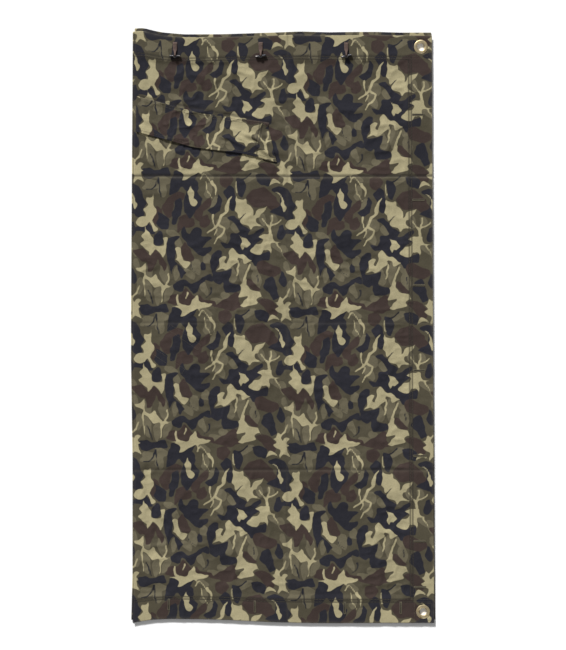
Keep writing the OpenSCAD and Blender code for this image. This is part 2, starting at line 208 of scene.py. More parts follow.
NAVY = [
    [(94, 2), (100, 3.3), (102, 7), (103.5, 12), (105.3, 16), (103, 20.5), (105, 25), (102, 27.5),
     (97, 24.5), (92.5, 22), (88, 21), (93, 18), (95, 15), (94.5, 9), (90, 5)],
    [(25, 13), (29, 11.5), (30, 17), (29, 23), (26.3, 31), (23.5, 30.5), (23, 25), (24.5, 20)],
    [(29.5, -1), (38.5, -2), (40.8, 4), (40, 8), (42.7, 12), (41.5, 17), (38, 23), (35.5, 26.5),
     (31.5, 22), (30.8, 12), (33, 7), (30.5, 4)],
    [(22.5, -4), (27.5, -4), (29, 3), (27.5, 7.5), (20.8, 10.5), (21.8, 4)],
    [(12, 21.5), (15, 23.5), (21, 27.5), (21.3, 34.5), (16.5, 35.5), (12.8, 31), (13.8, 27)],
    [(-3.5, 35), (0, 32.5), (6.5, 31), (9, 33), (11.5, 38), (8, 38.5), (3, 36.7)],
    [(11.5, 39), (14, 36), (17.3, 38.5), (17.5, 46), (13, 47.5), (10.8, 44)],
    [(20, 41.5), (28.5, 39.5), (24.7, 45), (25.5, 52), (24.8, 58.5), (30, 62), (32.7, 67), (30, 71.5),
     (28.7, 67), (26, 61), (23.5, 65), (24, 69.5), (21.5, 64), (20, 55), (19.3, 48)],
    [(31, 32.5), (34.5, 38), (38.5, 33.5), (42.3, 34), (43, 39.5), (50, 40.3), (46, 44), (44, 47.5),
     (49.5, 46.5), (47, 51.5), (43, 54.5), (38.5, 50), (34, 46.5), (30, 40), (29.5, 36)],
    [(57.5, 6), (60.5, 1.5), (64, 3), (66.3, 13), (65, 20), (61.5, 19), (60, 12)],
    [(66, -3), (71, -3), (72.3, 4), (70, 10.5), (67.5, 8)],
    [(54, 7.5), (56.5, 12), (55, 20), (51, 23.8), (46, 20.7), (52, 15.5)],
    [(60, 26), (64, 24), (69, 27.5), (70.5, 31.5), (76, 34), (74, 37.3), (78.5, 36.5), (83.5, 32),
     (85, 35.5), (81.8, 38.5), (84.5, 41), (79, 44.5), (76.5, 48.5), (80, 51.8), (88, 50.5), (88, 56),
     (82, 56.5), (79, 60.5), (74, 55.5), (68, 52.3), (64, 47.3), (58, 48.3), (55.5, 43), (61, 44),
     (62.5, 37.5), (68, 35), (65, 30)],
    [(96, 31), (98.3, 29.5), (98.7, 36), (96.5, 41), (94, 38)],
    [(50, 52), (55.5, 50), (56, 55), (53, 65.5), (60, 64), (63.3, 63.3), (61.3, 73), (68.5, 75.5),
     (70.3, 79), (65, 80.5), (58.5, 80.5), (58, 73), (55.3, 75.7), (51.5, 73), (50, 65), (49, 58)],
    [(24.8, 76), (28, 72.8), (33, 72), (36.5, 74), (43, 69.5), (49, 67.5), (51, 72.5), (46, 71),
     (42.3, 75), (40.5, 80), (37.5, 82), (35, 76.5), (31.5, 75.5), (30.5, 79.7), (26, 80)],
    [(2, 93), (4.5, 90), (11, 92), (20, 90), (21.3, 95), (14, 96.5), (9, 98), (4, 97.5)],
    [(24.5, 92), (28.3, 92.3), (30, 96), (29.7, 100), (34, 97), (39, 93.5), (37.5, 99), (34, 103),
     (22, 103)],
    [(78.5, 94), (83, 92.5), (89, 95.5), (88.5, 102), (82.5, 101), (79, 98)],
    [(66, 98.5), (71.5, 98), (72.5, 103), (67, 105)],
    [(85.5, 71), (90, 68.5), (92.5, 73), (93.5, 79), (95, 84), (91, 85.5), (88, 80), (84.7, 76)],
    [(96.5, 64.5), (99.5, 68), (100.3, 73), (97.5, 76.5), (94.3, 71)],
    [(44, 57), (46, 59), (46.5, 63.5), (43.5, 64.5), (42.7, 60)],
]

BROWN = [
    [(20, 12), (28, 7.5), (31.5, 8), (30, 13), (24.5, 14), (23.5, 25), (19, 26), (16.8, 20)],
    [(12, 17.5), (16, 21), (16.5, 27), (12.5, 32), (10, 28), (11.5, 23)],
    [(29, 25), (33, 23.5), (38, 28), (37, 33), (31, 34), (26.5, 37.5), (27, 31)],
    [(47, 11.5), (48.5, 16), (43.5, 22), (43.5, 29), (38.5, 28), (38, 21)],
    [(72.5, 10), (78, 4.5), (85, 2.5), (91, 9), (95, 15), (92, 21.5), (86, 17.5), (78, 17), (74, 14)],
    [(-3, 50), (4, 50), (8, 54), (9.3, 60), (4, 59), (-2, 54)],
    [(12, 49.5), (15.5, 54), (19.3, 60), (18, 65.7), (14.5, 60), (13, 56.5), (11, 65), (7.8, 66),
     (7, 60), (9, 54)],
    [(31, 43.5), (35, 48), (38.3, 56), (34, 58.7), (30, 54), (28.8, 48)],
    [(21, 89.5), (23, 83), (28.5, 82.5), (33, 76.5), (36, 81), (38.3, 85), (36, 89.5), (28, 90)],
    [(41, 82.5), (45, 86.5), (52.5, 87), (53.5, 91), (47, 89.5), (42, 88.5)],
    [(53, 90), (58, 86), (66, 80), (69.3, 82), (68, 87), (70.5, 90.5), (65, 94), (58, 93)],
    [(74, 70.5), (77.5, 71.5), (79.5, 76), (83, 78.5), (78, 79.5), (74, 75)],
    [(79.5, 60), (83, 55.5), (90, 59), (95.5, 61.5), (96, 65.5), (90, 69), (84, 66.5), (81, 65)],
    [(81, 86), (85, 84), (91, 86.5), (95, 94), (93.5, 97), (88, 95), (85, 91)],
    [(55, 96), (61, 94), (64, 98), (60, 103), (55, 101)],
    [(42, 27), (46, 24), (49, 28), (46, 33), (42, 32)],
]

# Light olive leaf lobes, each a middle, a half length, a half width and an angle in degrees.
LOBES = [
    (8, 81, 8, 2.7, 80), (14.3, 84, 7.5, 2.4, 92), (21.5, 82, 7, 2.4, 115), (18.5, 68, 8, 3, 78),
    (27, 67, 5.5, 2.3, 95), (8.5, 67, 6, 2.6, 88), (2, 77, 6, 2.4, 100), (62.5, 67, 7, 3.6, 75),
    (70, 63, 8, 3, 100), (80, 71, 7, 3, 85), (58, 30, 5, 4, 60), (56.5, 38, 6, 2.6, 65),
    (47, 6, 6, 2.6, 100), (51, 14, 5, 2, 120), (16.5, 6, 6, 3, 85), (9, 2, 5, 3.2, 20),
    (84, 26, 5, 2.3, 85), (91, 27, 5, 2.5, 80), (93, 46, 6, 2.3, 60), (98, 50, 6, 2.4, 80),
    (45, 78, 6, 2.6, 70), (55, 88, 6, 3.2, 15), (60, 84, 5, 2.4, 40), (40, 62, 6.5, 3.4, 80),
    (47, 56, 4.5, 2.6, 60), (27, 45, 5, 2.5, 70), (24, 38, 5, 2.3, 20), (75, 96, 6, 2.2, 135),
    (8, 103, 6, 2.6, 160), (18, 99, 5, 2.8, 20), (70, 69, 5, 2, 80), (78, 62, 5, 2.2, 60),
    (100, 62, 5, 2.2, 70), (35, 67, 5, 2.6, 50), (46, 95, 5, 2.2, 30), (66, 33, 4, 3, 40),
]

# Veins: a chain of places and the width at the thick end and at the tip.
SAND_VEINS = [
    ([(49.5, -1), (51.5, 4), (52.2, 9)], 1.5, 0.8),
    ([(62.5, 9), (61, 13), (60, 16.5)], 0.8, 2.2),
    ([(60, 16.5), (59.5, 20), (56, 24), (55, 29), (53, 32), (46, 37)], 2.0, 0.9),
    ([(50.5, 24), (51, 30), (53.5, 33.5), (51.5, 38.5)], 1.3, 0.8),
    ([(55, 31), (58.3, 33), (57.5, 37), (54, 40), (51.5, 45)], 1.4, 0.8),
    ([(84, 25.5), (85.5, 29), (88, 33.5)], 0.9, 1.3),
    ([(89.8, 23), (89.3, 28), (88, 33.5)], 0.9, 1.2),
    ([(95.5, 26), (93.5, 29), (88.5, 31.5), (88.5, 36.5)], 0.8, 1.5),
    ([(93.5, 43), (95, 46.5), (96.3, 50)], 1.3, 0.7),
    ([(45, 0), (46, 6), (49.3, 12.5)], 1.1, 0.7),
    ([(33.8, 80), (33.2, 86)], 1.0, 0.7),
    ([(66.3, 56), (67.7, 61), (67.3, 65.5), (65.7, 69)], 1.3, 0.8),
    ([(75, 60), (73.5, 65), (72, 71)], 1.2, 1.5),
    ([(98, 86), (100, 82), (101.3, 77.5)], 1.3, 0.8),
    ([(27.3, 83), (28, 88), (30.5, 91)], 1.0, 1.3),
    ([(21.3, 67.5), (20.7, 72), (20, 75)], 0.8, 1.4),
    ([(5.5, 71), (5, 77), (6.3, 86)], 1.4, 0.7),
    ([(41.5, 98), (44.5, 94.5), (48.5, 99), (51.5, 104)], 1.0, 0.9),
    ([(66, -1), (65.5, 4), (67.3, 8)], 0.8, 0.8),
    ([(17, 55), (16.5, 50)], 1.2, 1.2),
]
DARK_VEINS = [
    ([(5, 5.7), (9, 5.3), (13, 0.5)], 1.0, 0.8),
    ([(13.8, -2), (14.5, 5), (15.5, 12)], 1.0, 0.7),
    ([(36, 60), (38.3, 64.5), (42, 67.3)], 0.9, 0.6),
    ([(69.5, 25), (72.3, 22)], 1.5, 1.2),
    ([(30, 99.5), (35, 96), (40, 92.5)], 2.0, 1.2),
    ([(7.3, 80), (9.8, 84), (11, 90)], 1.0, 0.8),
    ([(69.5, 97.5), (73, 95), (76, 92.5)], 1.2, 0.9),
    ([(50, 77), (49.3, 82), (46.5, 85.3)], 0.9, 0.6),
    ([(58, 66), (57.3, 71)], 0.8, 0.7),
    ([(81, 67), (80.5, 73)], 0.8, 0.7),
]
VEIN_WIDTH = 4.7 * MM
SAND_INSET = 0.5 * MM
TILE = 400
FAR = 20 * MM

# Small lobes on the print's outlines: how many across one repeat, how far they reach, and a seed.
LOBING = [(22, 0.0085, 61), (48, 0.0035, 63)]


CURVE_STEPS = 6


def rounded(points, closed=True):
    """Points along a smooth curve through a few points, CURVE_STEPS of them for each."""
    p = np.asarray(points, float)
    before = np.roll(p, 1, 0) if closed else np.vstack([p[:1], p[:-1]])
    after = np.roll(p, -1, 0) if closed else np.vstack([p[1:], p[-1:]])
    tangent = (after - before) * 0.32
    following = np.roll(tangent, -1, 0)
    t = np.linspace(0, 1, CURVE_STEPS, endpoint=False)[None, :, None]
    curve = ((2 * t**3 - 3 * t**2 + 1) * p[:, None] + (t**3 - 2 * t**2 + t) * tangent[:, None]
             + (3 * t**2 - 2 * t**3) * after[:, None] + (t**3 - t**2) * following[:, None])
    curve = curve.reshape(-1, 2)
    return curve if closed else np.vstack([curve[:-CURVE_STEPS], p[-1:]])


TILE_SIZE = np.array([np.linalg.norm(REPEAT_ACROSS), np.linalg.norm(REPEAT_DOWN)])


def tile_window(points):
    """Index ranges of the tile round some points in metres, and the places of those cells."""
    step = TILE_SIZE / TILE
    low = np.floor((points.min(0) - FAR) / step).astype(int)
    high = np.ceil((points.max(0) + FAR) / step).astype(int)
    i, j = np.meshgrid(np.arange(low[0], high[0]), np.arange(low[1], high[1]), indexing="ij")
    return i, j, np.stack([i * step[0], j * step[1]], -1)


def distance_to_chain(places, chain, widths=None):
    """Distance from places to a chain of points, less half the chain's width there."""
    best = np.full(places.shape[:2], np.inf)
    for k, (a, b) in enumerate(zip(chain[:-1], chain[1:])):
        span = b - a
        t = np.clip(((places - a) @ span) / max(span @ span, 1e-12), 0, 1)
        gap = np.linalg.norm(places - a - t[..., None] * span, axis=-1)
        if widths is not None:
            gap = gap - (widths[k] * (1 - t) + widths[k + 1] * t) / 2
        best = np.minimum(best, gap)
    return best


def inside(places, outline):
    """True where places lie inside a closed outline."""
    crossings = np.zeros(places.shape[:2], int)
    for a, b in zip(outline, np.roll(outline, -1, 0)):
        spans = (a[1] > places[..., 1]) != (b[1] > places[..., 1])
        x = a[0] + (places[..., 1] - a[1]) * (b[0] - a[0]) / (b[1] - a[1] if b[1] != a[1] else 1e-12)
        crossings += spans & (places[..., 0] < x)
    return crossings % 2 == 1


def stamp(field, i, j, values):
    """Keeps the smaller of a field and new values, where the repeat wraps round."""
    np.minimum.at(field, (i % TILE, j % TILE), values)


def outline_field(outlines):
    """Signed distance to a set of closed outlines over one repeat, negative inside."""
    field = np.full((TILE, TILE), FAR)
    for outline in outlines:
        curve = rounded(outline) / 100 * TILE_SIZE
        i, j, places = tile_window(curve)
        gap = distance_to_chain(places, np.vstack([curve, curve[:1]]))
        stamp(field, i, j, np.where(inside(places, curve), -gap, gap))
    return field


def vein_field(veins):
    """Signed distance to a set of tapering veins over one repeat."""
    field = np.full((TILE, TILE), FAR)
    for places_on, thick, thin in veins:
        curve = rounded(places_on, closed=False) / 100 * TILE_SIZE
        widths = np.linspace(thick, thin, len(curve)) * VEIN_WIDTH
        i, j, places = tile_window(curve)
        stamp(field, i, j, distance_to_chain(places, curve, widths))
    return field


def lobe_outline(lobe):
    """A leaf lobe as a closed outline: an oval whose tip is narrower than its root."""
    x, y, long, wide, angle = lobe
    turn = math.radians(angle)
    outline = []
    for k in range(10):
        a = math.tau * k / 10
        along = long * math.cos(a)
        across = wide * math.sin(a) * (1 - 0.25 * math.cos(a))
        outline.append((x + along * math.cos(turn) - across * math.sin(turn),
                        y + along * math.sin(turn) + across * math.cos(turn)))
    return outline


PRINT = {
    "sand": np.minimum(outline_field(SAND) + SAND_INSET, vein_field(SAND_VEINS)),
    "navy": outline_field(NAVY),
    "brown": outline_field(BROWN),
    "lobe": outline_field([lobe_outline(lobe) for lobe in LOBES]),
    "dark_vein": vein_field(DARK_VEINS),
}


def print_values(x, y):
    """The print's fields at places on the cloth, given in the flat sheet's own X and Y."""
    place = np.stack([np.asarray(x) - REPEAT_START[0], np.asarray(y) - REPEAT_START[1]])
    basis = np.linalg.inv(np.stack([REPEAT_ACROSS, REPEAT_DOWN], 1))
    u, v = np.tensordot(basis, place, 1)
    for cells, reach, seed in LOBING:
        du = soft_noise(u, v, 1 / cells, seed, cells)
        dv = soft_noise(u, v, 1 / cells, seed + 1, cells)
        u = u + reach * du
        v = v + reach * dv
    i = np.floor(u * TILE).astype(int)
    j = np.floor(v * TILE).astype(int)
    fu = u * TILE - i
    fv = v * TILE - j
    return {name: between_cells(field, i, j, fu, fv) / MM for name, field in PRINT.items()}


# ---------------------------------------------------------------------------
# Shape of the laid cloth
# ---------------------------------------------------------------------------

# Creases from storage: three across the sheet at its quarters, and one along its middle.
# A crease across is a place along Y and a strength.
CROSS_CREASES = [(0.462, 1.0), (0.016, 0.35), (-0.433, 0.5)]
LONG_CREASE_X = 0.012
LONG_CREASE_DEPTH = 0.9 * MM
CREASE_WIDTH = 3.6 * MM

# How far a grommet's flange presses the cloth down, and how far round it.
FLANGE_SINK = 0.75 * MM
FLANGE_REACH = 5 * MM

# How far the laid cloth's outline strays from a true rectangle, as (place, shift) pairs.
TOP_EDGE = [(-0.463, 0.012), (-0.43, 0.014), (-0.40, 0.006), (-0.37, 0.0), (-0.30, -0.006), (-0.20, -0.004),
            (-0.05, 0.0), (0.05, 0.003), (0.14, 0.0), (0.28, 0.002), (0.36, 0.0), (0.47, 0.0)]
BOTTOM_EDGE = [(-0.463, -0.002), (-0.44, 0.003), (-0.40, 0.009), (-0.34, 0.013), (-0.26, 0.012),
               (-0.14, 0.007), (-0.03, 0.003), (0.10, 0.0), (0.47, 0.0)]
FOLD_EDGE = [(-0.90, -0.001), (-0.75, 0.003), (-0.40, 0.003), (-0.10, -0.0015), (0.05, -0.0015),
             (0.30, 0.0), (0.60, 0.002), (0.90, 0.004)]
EDGE_REACH = 0.22


def laid_place(x, y):
    """Where a point of the flat rectangle lies in plan once the cloth is laid down."""
    near_top = smooth(1 - (UPPER.top - y) / EDGE_REACH)
    near_bottom = smooth(1 - (y - UPPER.bottom) / EDGE_REACH)
    near_fold = smooth(1 - (x - FOLD_X) / EDGE_REACH)
    dx = along_curve(y, FOLD_EDGE) * near_fold
    dy = along_curve(x, TOP_EDGE) * near_top + along_curve(x, BOTTOM_EDGE) * near_bottom
    free = 1.3 * MM * smooth((AXIS.x + 0.80 - x) / 0.20)
    dx = dx + free * soft_noise(x, y, 0.11, 21) * smooth((x - SHEET_X) / 0.06)
    dy = dy + free * soft_noise(x, y, 0.13, 22)
    return x + dx, y + dy


def crease(distance, width):
    """A sharp valley with soft shoulders, from -1 at its bottom to 0."""
    return -np.exp(-np.abs(distance) / width) + 0.45 * np.exp(-(np.abs(distance) / (3.2 * width)) ** 2)


def from_edges(leaf, x, y):
    """Distance from the nearest open edge of a leaf."""
    return np.minimum(np.minimum(leaf.edge(y) - x, leaf.top - y), y - leaf.bottom)


def from_nearest(places, x, y):
    """Distance from the nearest of some places."""
    return np.min([np.hypot(x - place.x, y - place.y) for place in places], 0)


def near_grommets(x, y, reach):
    """1 under a grommet's flange, fading to 0 over the reach."""
    return smooth((FLANGE_R + reach - from_nearest(GROMMETS, x, y)) / reach)


def clear_of_toggles(x, y):
    """0 under the toggles, where the cloth lies flat, rising to 1 beside them."""
    return smooth((from_nearest(TOGGLES, x, y) - 24 * MM) / (20 * MM))


def gathers(x, y):
    """Small radial ridges that run out from under the grommets."""
    z = np.zeros(np.shape(x))
    for place in GROMMETS:
        r = np.hypot(x - place.x, y - place.y)
        angle = np.arctan2(y - place.y, x - place.x)
        z = z + 0.3 * MM * np.cos(7 * angle + 1) * np.exp(-((r - 28 * MM) / (7 * MM)) ** 2)
    return z


def sewn_ridges(ridges, distance, reach):
    """A narrow groove along a row of stitching, between small ridges that cross it."""
    near = np.exp(-(distance / reach) ** 2)
    groove = np.exp(-(distance / (3.5 * MM)) ** 2)
    return near * ((0.6 * MM + 0.8 * MM * np.abs(ridges)) * (1 - groove))


def hem_seam(x, y, gap, row):
    """The puckered seam of a hem whose stitching is at distance row from the edge."""
    ridges = soft_noise(x, 0.3 * y, 16 * MM, 16) + soft_noise(0.3 * x, y, 16 * MM, 17)
    return sewn_ridges(ridges, gap - row, 15 * MM)


def from_flap_seam(x, y):
    """Place along the flap's seam, and distance from it up the sheet."""
    dx = x - FLAP_HINGE.x
    dy = y - FLAP_HINGE.y
    u = dx * FLAP_ALONG.x + dy * FLAP_ALONG.y
    v = dy * FLAP_ALONG.x - dx * FLAP_ALONG.y
    return u, v - FLAP_MARGIN


def beside_flap_seam(u, v, width):
    """1 on the flap's seam, fading to 0 over a width beside it and past its ends."""
    ends = smooth((u + 20 * MM) / (40 * MM)) * smooth((FLAP_L + 30 * MM - u) / (40 * MM))
    return ends * np.exp(-(v / width) ** 2)


def flap_seam(x, y):
    """The puckered seam where the flap is sewn on."""
    u, v = from_flap_seam(x, y)
    ridges = soft_noise(u, 0.25 * v, 15 * MM, 31) + 0.7 * soft_noise(u, 0.4 * v, 9 * MM, 32)
    return 1.4 * beside_flap_seam(u, v, 60 * MM) * sewn_ridges(ridges, v, 20 * MM)


# Wrinkles, listed one by one: start, end, height in millimetres before the gain, width in metres.
WRINKLE_GAIN = 1.5
WRINKLES = [
    ((-0.16, 0.560), (0.03, 0.515), 1.5, 0.009),
    ((-0.10, 0.575), (0.02, 0.590), 1.1, 0.007),
    ((-0.05, 0.640), (0.045, 0.560), 1.4, 0.008),
    ((0.00, 0.660), (0.06, 0.500), 1.2, 0.009),
    ((-0.12, 0.500), (-0.01, 0.480), 0.9, 0.008),
    ((0.02, 0.520), (0.13, 0.475), 0.8, 0.010),
    ((-0.36, 0.735), (-0.22, 0.690), 0.7, 0.010),
    ((-0.30, 0.10), (-0.20, 0.02), 0.7, 0.010),
    ((-0.40, -0.06), (-0.22, -0.02), 0.6, 0.012),
    ((-0.43, -0.45), (-0.30, -0.52), 0.8, 0.014),
    ((-0.44, -0.70), (-0.33, -0.78), 0.9, 0.014),
    ((0.18, -0.47), (0.34, -0.50), 0.8, 0.012),
    ((0.20, 0.44), (0.36, 0.40), 0.7, 0.012),
    ((-0.05, -0.15), (0.02, -0.33), 0.6, 0.011),
    ((0.30, 0.20), (0.35, 0.02), 0.5, 0.012),
]


def wrinkle(x, y, start, end, height, width, bow, fade):
    """Height of a ridge from start to end, which bows to one side and fades over a share of each end."""
    (x0, y0), (x1, y1) = start, end
    length = math.hypot(x1 - x0, y1 - y0)
    along = ((x - x0) * (x1 - x0) + (y - y0) * (y1 - y0)) / length
    across = ((y - y0) * (x1 - x0) - (x - x0) * (y1 - y0)) / length
    aside = bow * length * np.sin(np.pi * along / length)
    ends = smooth(along / (fade * length)) * smooth((length - along) / (fade * length))
    return height * ends * np.exp(-((across - aside) / width) ** 2)


def wrinkles(x, y):
    """Height of the listed wrinkles."""
    z = np.zeros(np.shape(x))
    for start, end, height, width in WRINKLES:
        z = z + wrinkle(x, y, start, end, WRINKLE_GAIN * height * MM, width, bow=0.06, fade=0.35)
    return z


# Stitching rows of the hems, as shares of the hem's width.
HEM_ROWS = [0.84, 0.94]

# The face never comes lower than the first, nor rises further above the CAD panel's face than the second.
LOWEST_FACE = 2.9 * MM
HIGHEST_RISE = 1.1 * MM


def limited(z):
    """Heights that level off at the highest rise."""
    proud = np.maximum(z, 0.0)
    return z - proud + HIGHEST_RISE * np.tanh(proud / HIGHEST_RISE)


def leaf_sag(x, y):
    """Height of the upper leaf's broad hollows, folds and creases, which all its layers follow."""
    hem = UPPER.hem_width
    loose = smooth((from_edges(UPPER, x, y) - 0.96 * hem) / (0.20 * hem))
    bent = x + 18 * MM * soft_noise(x, y, 0.07, 71)
    folds = (1 - np.abs(soft_noise(bent, y, 0.120, 72))) ** 3
    z = loose * (-1.9 * MM + 0.7 * MM * soft_noise(x, y, 0.19, 11) + 2.2 * MM * (folds - 0.35))
    for place, depth in CROSS_CREASES:
        z = z + depth * 2.6 * MM * crease(y - place, CREASE_WIDTH)
    z = z + LONG_CREASE_DEPTH * crease(x - LONG_CREASE_X, CREASE_WIDTH)
    return z * (1 - near_grommets(x, y, FLANGE_REACH)) * smooth((x - SHEET_X) / (45 * MM))


def crumple(x, y):
    """Height of the small crisp folds of handled canvas, stronger in some patches than in others."""
    bent = x + 12 * MM * soft_noise(x, y, 0.05, 76)
    small = (1 - np.abs(soft_noise(bent, y, 0.040, 73))) ** 3
    fine = (1 - np.abs(soft_noise(x, y, 0.024, 74))) ** 3
    patch = np.clip(0.62 + 0.60 * soft_noise(x, y, 0.20, 75), 0.15, 1.3)
    return patch * 2.6 * MM * (0.9 * small + 0.6 * fine)


def surface_detail(x, y):
    """Height of the folds, puckers and wrinkles that only the outer face shows."""
    gap = from_edges(UPPER, x, y)
    hem = UPPER.hem_width
    loose = smooth((gap - 0.90 * hem) / (0.20 * hem))
    z = (0.35 + 0.65 * loose) * crumple(x, y) + 0.25 * MM * np.abs(soft_noise(x, y, 0.017, 13))
    z = z + hem_seam(x, y, gap, HEM_ROWS[0] * hem) + flap_seam(x, y) + wrinkles(x, y)
    z = z * clear_of_toggles(x, y) - 0.3 * MM
    z = z * (1 - near_grommets(x, y, FLANGE_REACH)) * smooth((x - SHEET_X) / (30 * MM))
    return z + gathers(x, y) - FLANGE_SINK * near_grommets(x, y, FLANGE_REACH)


def relief(x, y):
    """Height of the upper leaf's outer face."""
    return np.maximum(UPPER_FACE + limited(leaf_sag(x, y) + surface_detail(x, y)), LOWEST_FACE)


def lining(x, y):
    """Height that the upper leaf's inner layers hang from."""
    sag = limited(leaf_sag(x, y)) - FLANGE_SINK * near_grommets(x, y, FLANGE_REACH)
    return np.maximum(UPPER_FACE + sag, LOWEST_FACE)


def rounded_depth(gap, depth):
    """Depth in a turned hem: all its layers meet halfway through it at its edge."""
    reach = 1.6 * MM
    arch = np.sqrt(1 - np.clip(1 - gap / reach, 0, 1) ** 2)
    return CLOTH_T + (depth - CLOTH_T) * np.maximum(arch, 0.08)


def upper_layer(depth):
    """Maps the flat cloth to the upper leaf, at a depth below its outer face."""
    top = lining if depth > 0 else relief

    def place(x, y):
        px, py = laid_place(x, y)
        return np.stack([px, py, top(x, y) - rounded_depth(from_edges(UPPER, x, y), depth)], -1)
    return place


def lower_layer(depth):
    """Maps the flat cloth to the lower leaf, at a height above its outer face on the floor."""
    def place(x, y):
        px, py = laid_place(x, y)
        base = 0.05 * MM + 0.8 * MM * near_grommets(x, y, 4 * MM)
        return np.stack([px, py, base + rounded_depth(from_edges(LOWER, x, y), depth)], -1)
    return place


# ---------------------------------------------------------------------------
# Materials
# ---------------------------------------------------------------------------

def srgb(r, g, b):
    """A colour given in 0 to 255 display values, as linear RGBA."""
    def linear(c):
        c = c / 255
        return c / 12.92 if c <= 0.04045 else ((c + 0.055) / 1.055) ** 2.4
    return (linear(r), linear(g), linear(b), 1.0)


class Paint:
    """A material and short ways to add nodes to it."""

    def __init__(self, name, roughness, metallic=0.0, sheen=0.0, specular=0.5):
        self.material = bpy.data.materials.new(name)
        self.material.use_nodes = True
        self.nodes = self.material.node_tree.nodes
        self.links = self.material.node_tree.links
        self.shader = self.nodes["Principled BSDF"]
        self.shader.inputs["Roughness"].default_value = roughness
        self.shader.inputs["Metallic"].default_value = metallic
        self.shader.inputs["Sheen Weight"].default_value = sheen
        self.shader.inputs["Sheen Roughness"].default_value = 0.5
        self.shader.inputs["Specular IOR Level"].default_value = specular

    def put(self, value, socket):
        """Links a socket or sets a constant."""
        if isinstance(value, bpy.types.NodeSocket):
            self.links.new(value, socket)
        else:
            socket.default_value = value

    def attribute(self, name):
        node = self.nodes.new("ShaderNodeAttribute")
        node.attribute_name = name
        return node.outputs["Fac"]

    def flat_place(self):
        """The place on the flat cloth, in metres."""
        node = self.nodes.new("ShaderNodeCombineXYZ")
        self.put(self.attribute("flat_x"), node.inputs["X"])
        self.put(self.attribute("flat_y"), node.inputs["Y"])
        return node.outputs["Vector"]

    def object_place(self):
        return self.nodes.new("ShaderNodeTexCoord").outputs["Object"]

    def math(self, operation, a, b=0.0):
        node = self.nodes.new("ShaderNodeMath")
        node.operation = operation
        self.put(a, node.inputs[0])
        self.put(b, node.inputs[1])
        return node.outputs[0]

    def ramp(self, value, low, high, to_low=0.0, to_high=1.0):
        node = self.nodes.new("ShaderNodeMapRange")
        self.put(value, node.inputs["Value"])
        for name, number in (("From Min", low), ("From Max", high), ("To Min", to_low), ("To Max", to_high)):
            node.inputs[name].default_value = number
        return node.outputs["Result"]

    def noise(self, place, cell, detail=2.0):
        """Noise from 0 to 1 with bumps about one cell wide."""
        node = self.nodes.new("ShaderNodeTexNoise")
        self.put(place, node.inputs["Vector"])
        node.inputs["Scale"].default_value = 1 / cell
        node.inputs["Detail"].default_value = detail
        return node.outputs["Fac"]

    def bands(self, place, direction, pitch):
        """Even bands across one direction, from 0 to 1."""
        node = self.nodes.new("ShaderNodeTexWave")
        node.bands_direction = direction
        self.put(place, node.inputs["Vector"])
        node.inputs["Scale"].default_value = math.tau / 20 / pitch
        node.inputs["Distortion"].default_value = 0.6
        node.inputs["Detail"].default_value = 1.0
        return node.outputs["Fac"]

    def mix(self, share, a, b):
        node = self.nodes.new("ShaderNodeMix")
        node.data_type = "RGBA"
        self.put(share, node.inputs["Factor"])
        self.put(a, node.inputs["A"])
        self.put(b, node.inputs["B"])
        return node.outputs[2]

    def brightness(self, color, amount):
        """Scales a colour by a number."""
        node = self.nodes.new("ShaderNodeVectorMath")
        node.operation = "SCALE"
        self.put(color, node.inputs[0])
        self.put(amount, node.inputs["Scale"])
        return node.outputs[0]

    def weave(self, place, pitch, depth):
        """Raised warp and weft threads, on cloth with fine crinkles."""
        threads = self.math("ADD", self.bands(place, "X", pitch), self.bands(place, "Y", pitch))
        crinkle = self.math("ABSOLUTE", self.math("SUBTRACT", self.noise(place, 0.026, 3.0), 0.5))
        crinkle = self.math("MULTIPLY", crinkle, -1.1 * MM / depth)
        height = self.math("ADD", threads, crinkle)
        self.bump(height, depth)

    def bump(self, height, depth):
        node = self.nodes.new("ShaderNodeBump")
        node.inputs["Distance"].default_value = depth
        node.inputs["Strength"].default_value = 0.8
        self.put(height, node.inputs["Height"])
        self.put(node.outputs["Normal"], self.shader.inputs["Normal"])

    def finish(self, color):
        self.put(color, self.shader.inputs["Base Color"])
        return self.material


OLIVE = srgb(73, 68, 54)
LOBE = srgb(96, 90, 72)
BROWN_INK = srgb(58, 47, 43)
NAVY_INK = srgb(30, 31, 38)
SAND_INK = srgb(158, 149, 117)
THREAD = srgb(92, 86, 68)
# Pale for wear, and for the painted highlight beside the creases.
WORN_AND_HIGHLIGHT = srgb(150, 142, 120)
# Dark for the painted shade in creases and seams, with some soiling.
SOIL_AND_SHADE = srgb(36, 33, 31)


def print_color(paint):
    """The camouflage colours, from the print's distances stored on the mesh."""
    def mask(name):
        return paint.ramp(paint.attribute(name), -0.8, 0.8, 1.0, 0.0)
    place = paint.flat_place()
    ink = paint.mix(paint.noise(place, 0.012, 3.0), NAVY_INK, srgb(40, 39, 46))
    color = paint.mix(mask("lobe"), OLIVE, LOBE)
    color = paint.mix(mask("brown"), color, BROWN_INK)
    color = paint.mix(mask("navy"), color, ink)
    color = paint.mix(mask("dark_vein"), color, NAVY_INK)
    return paint.mix(mask("sand"), color, SAND_INK)


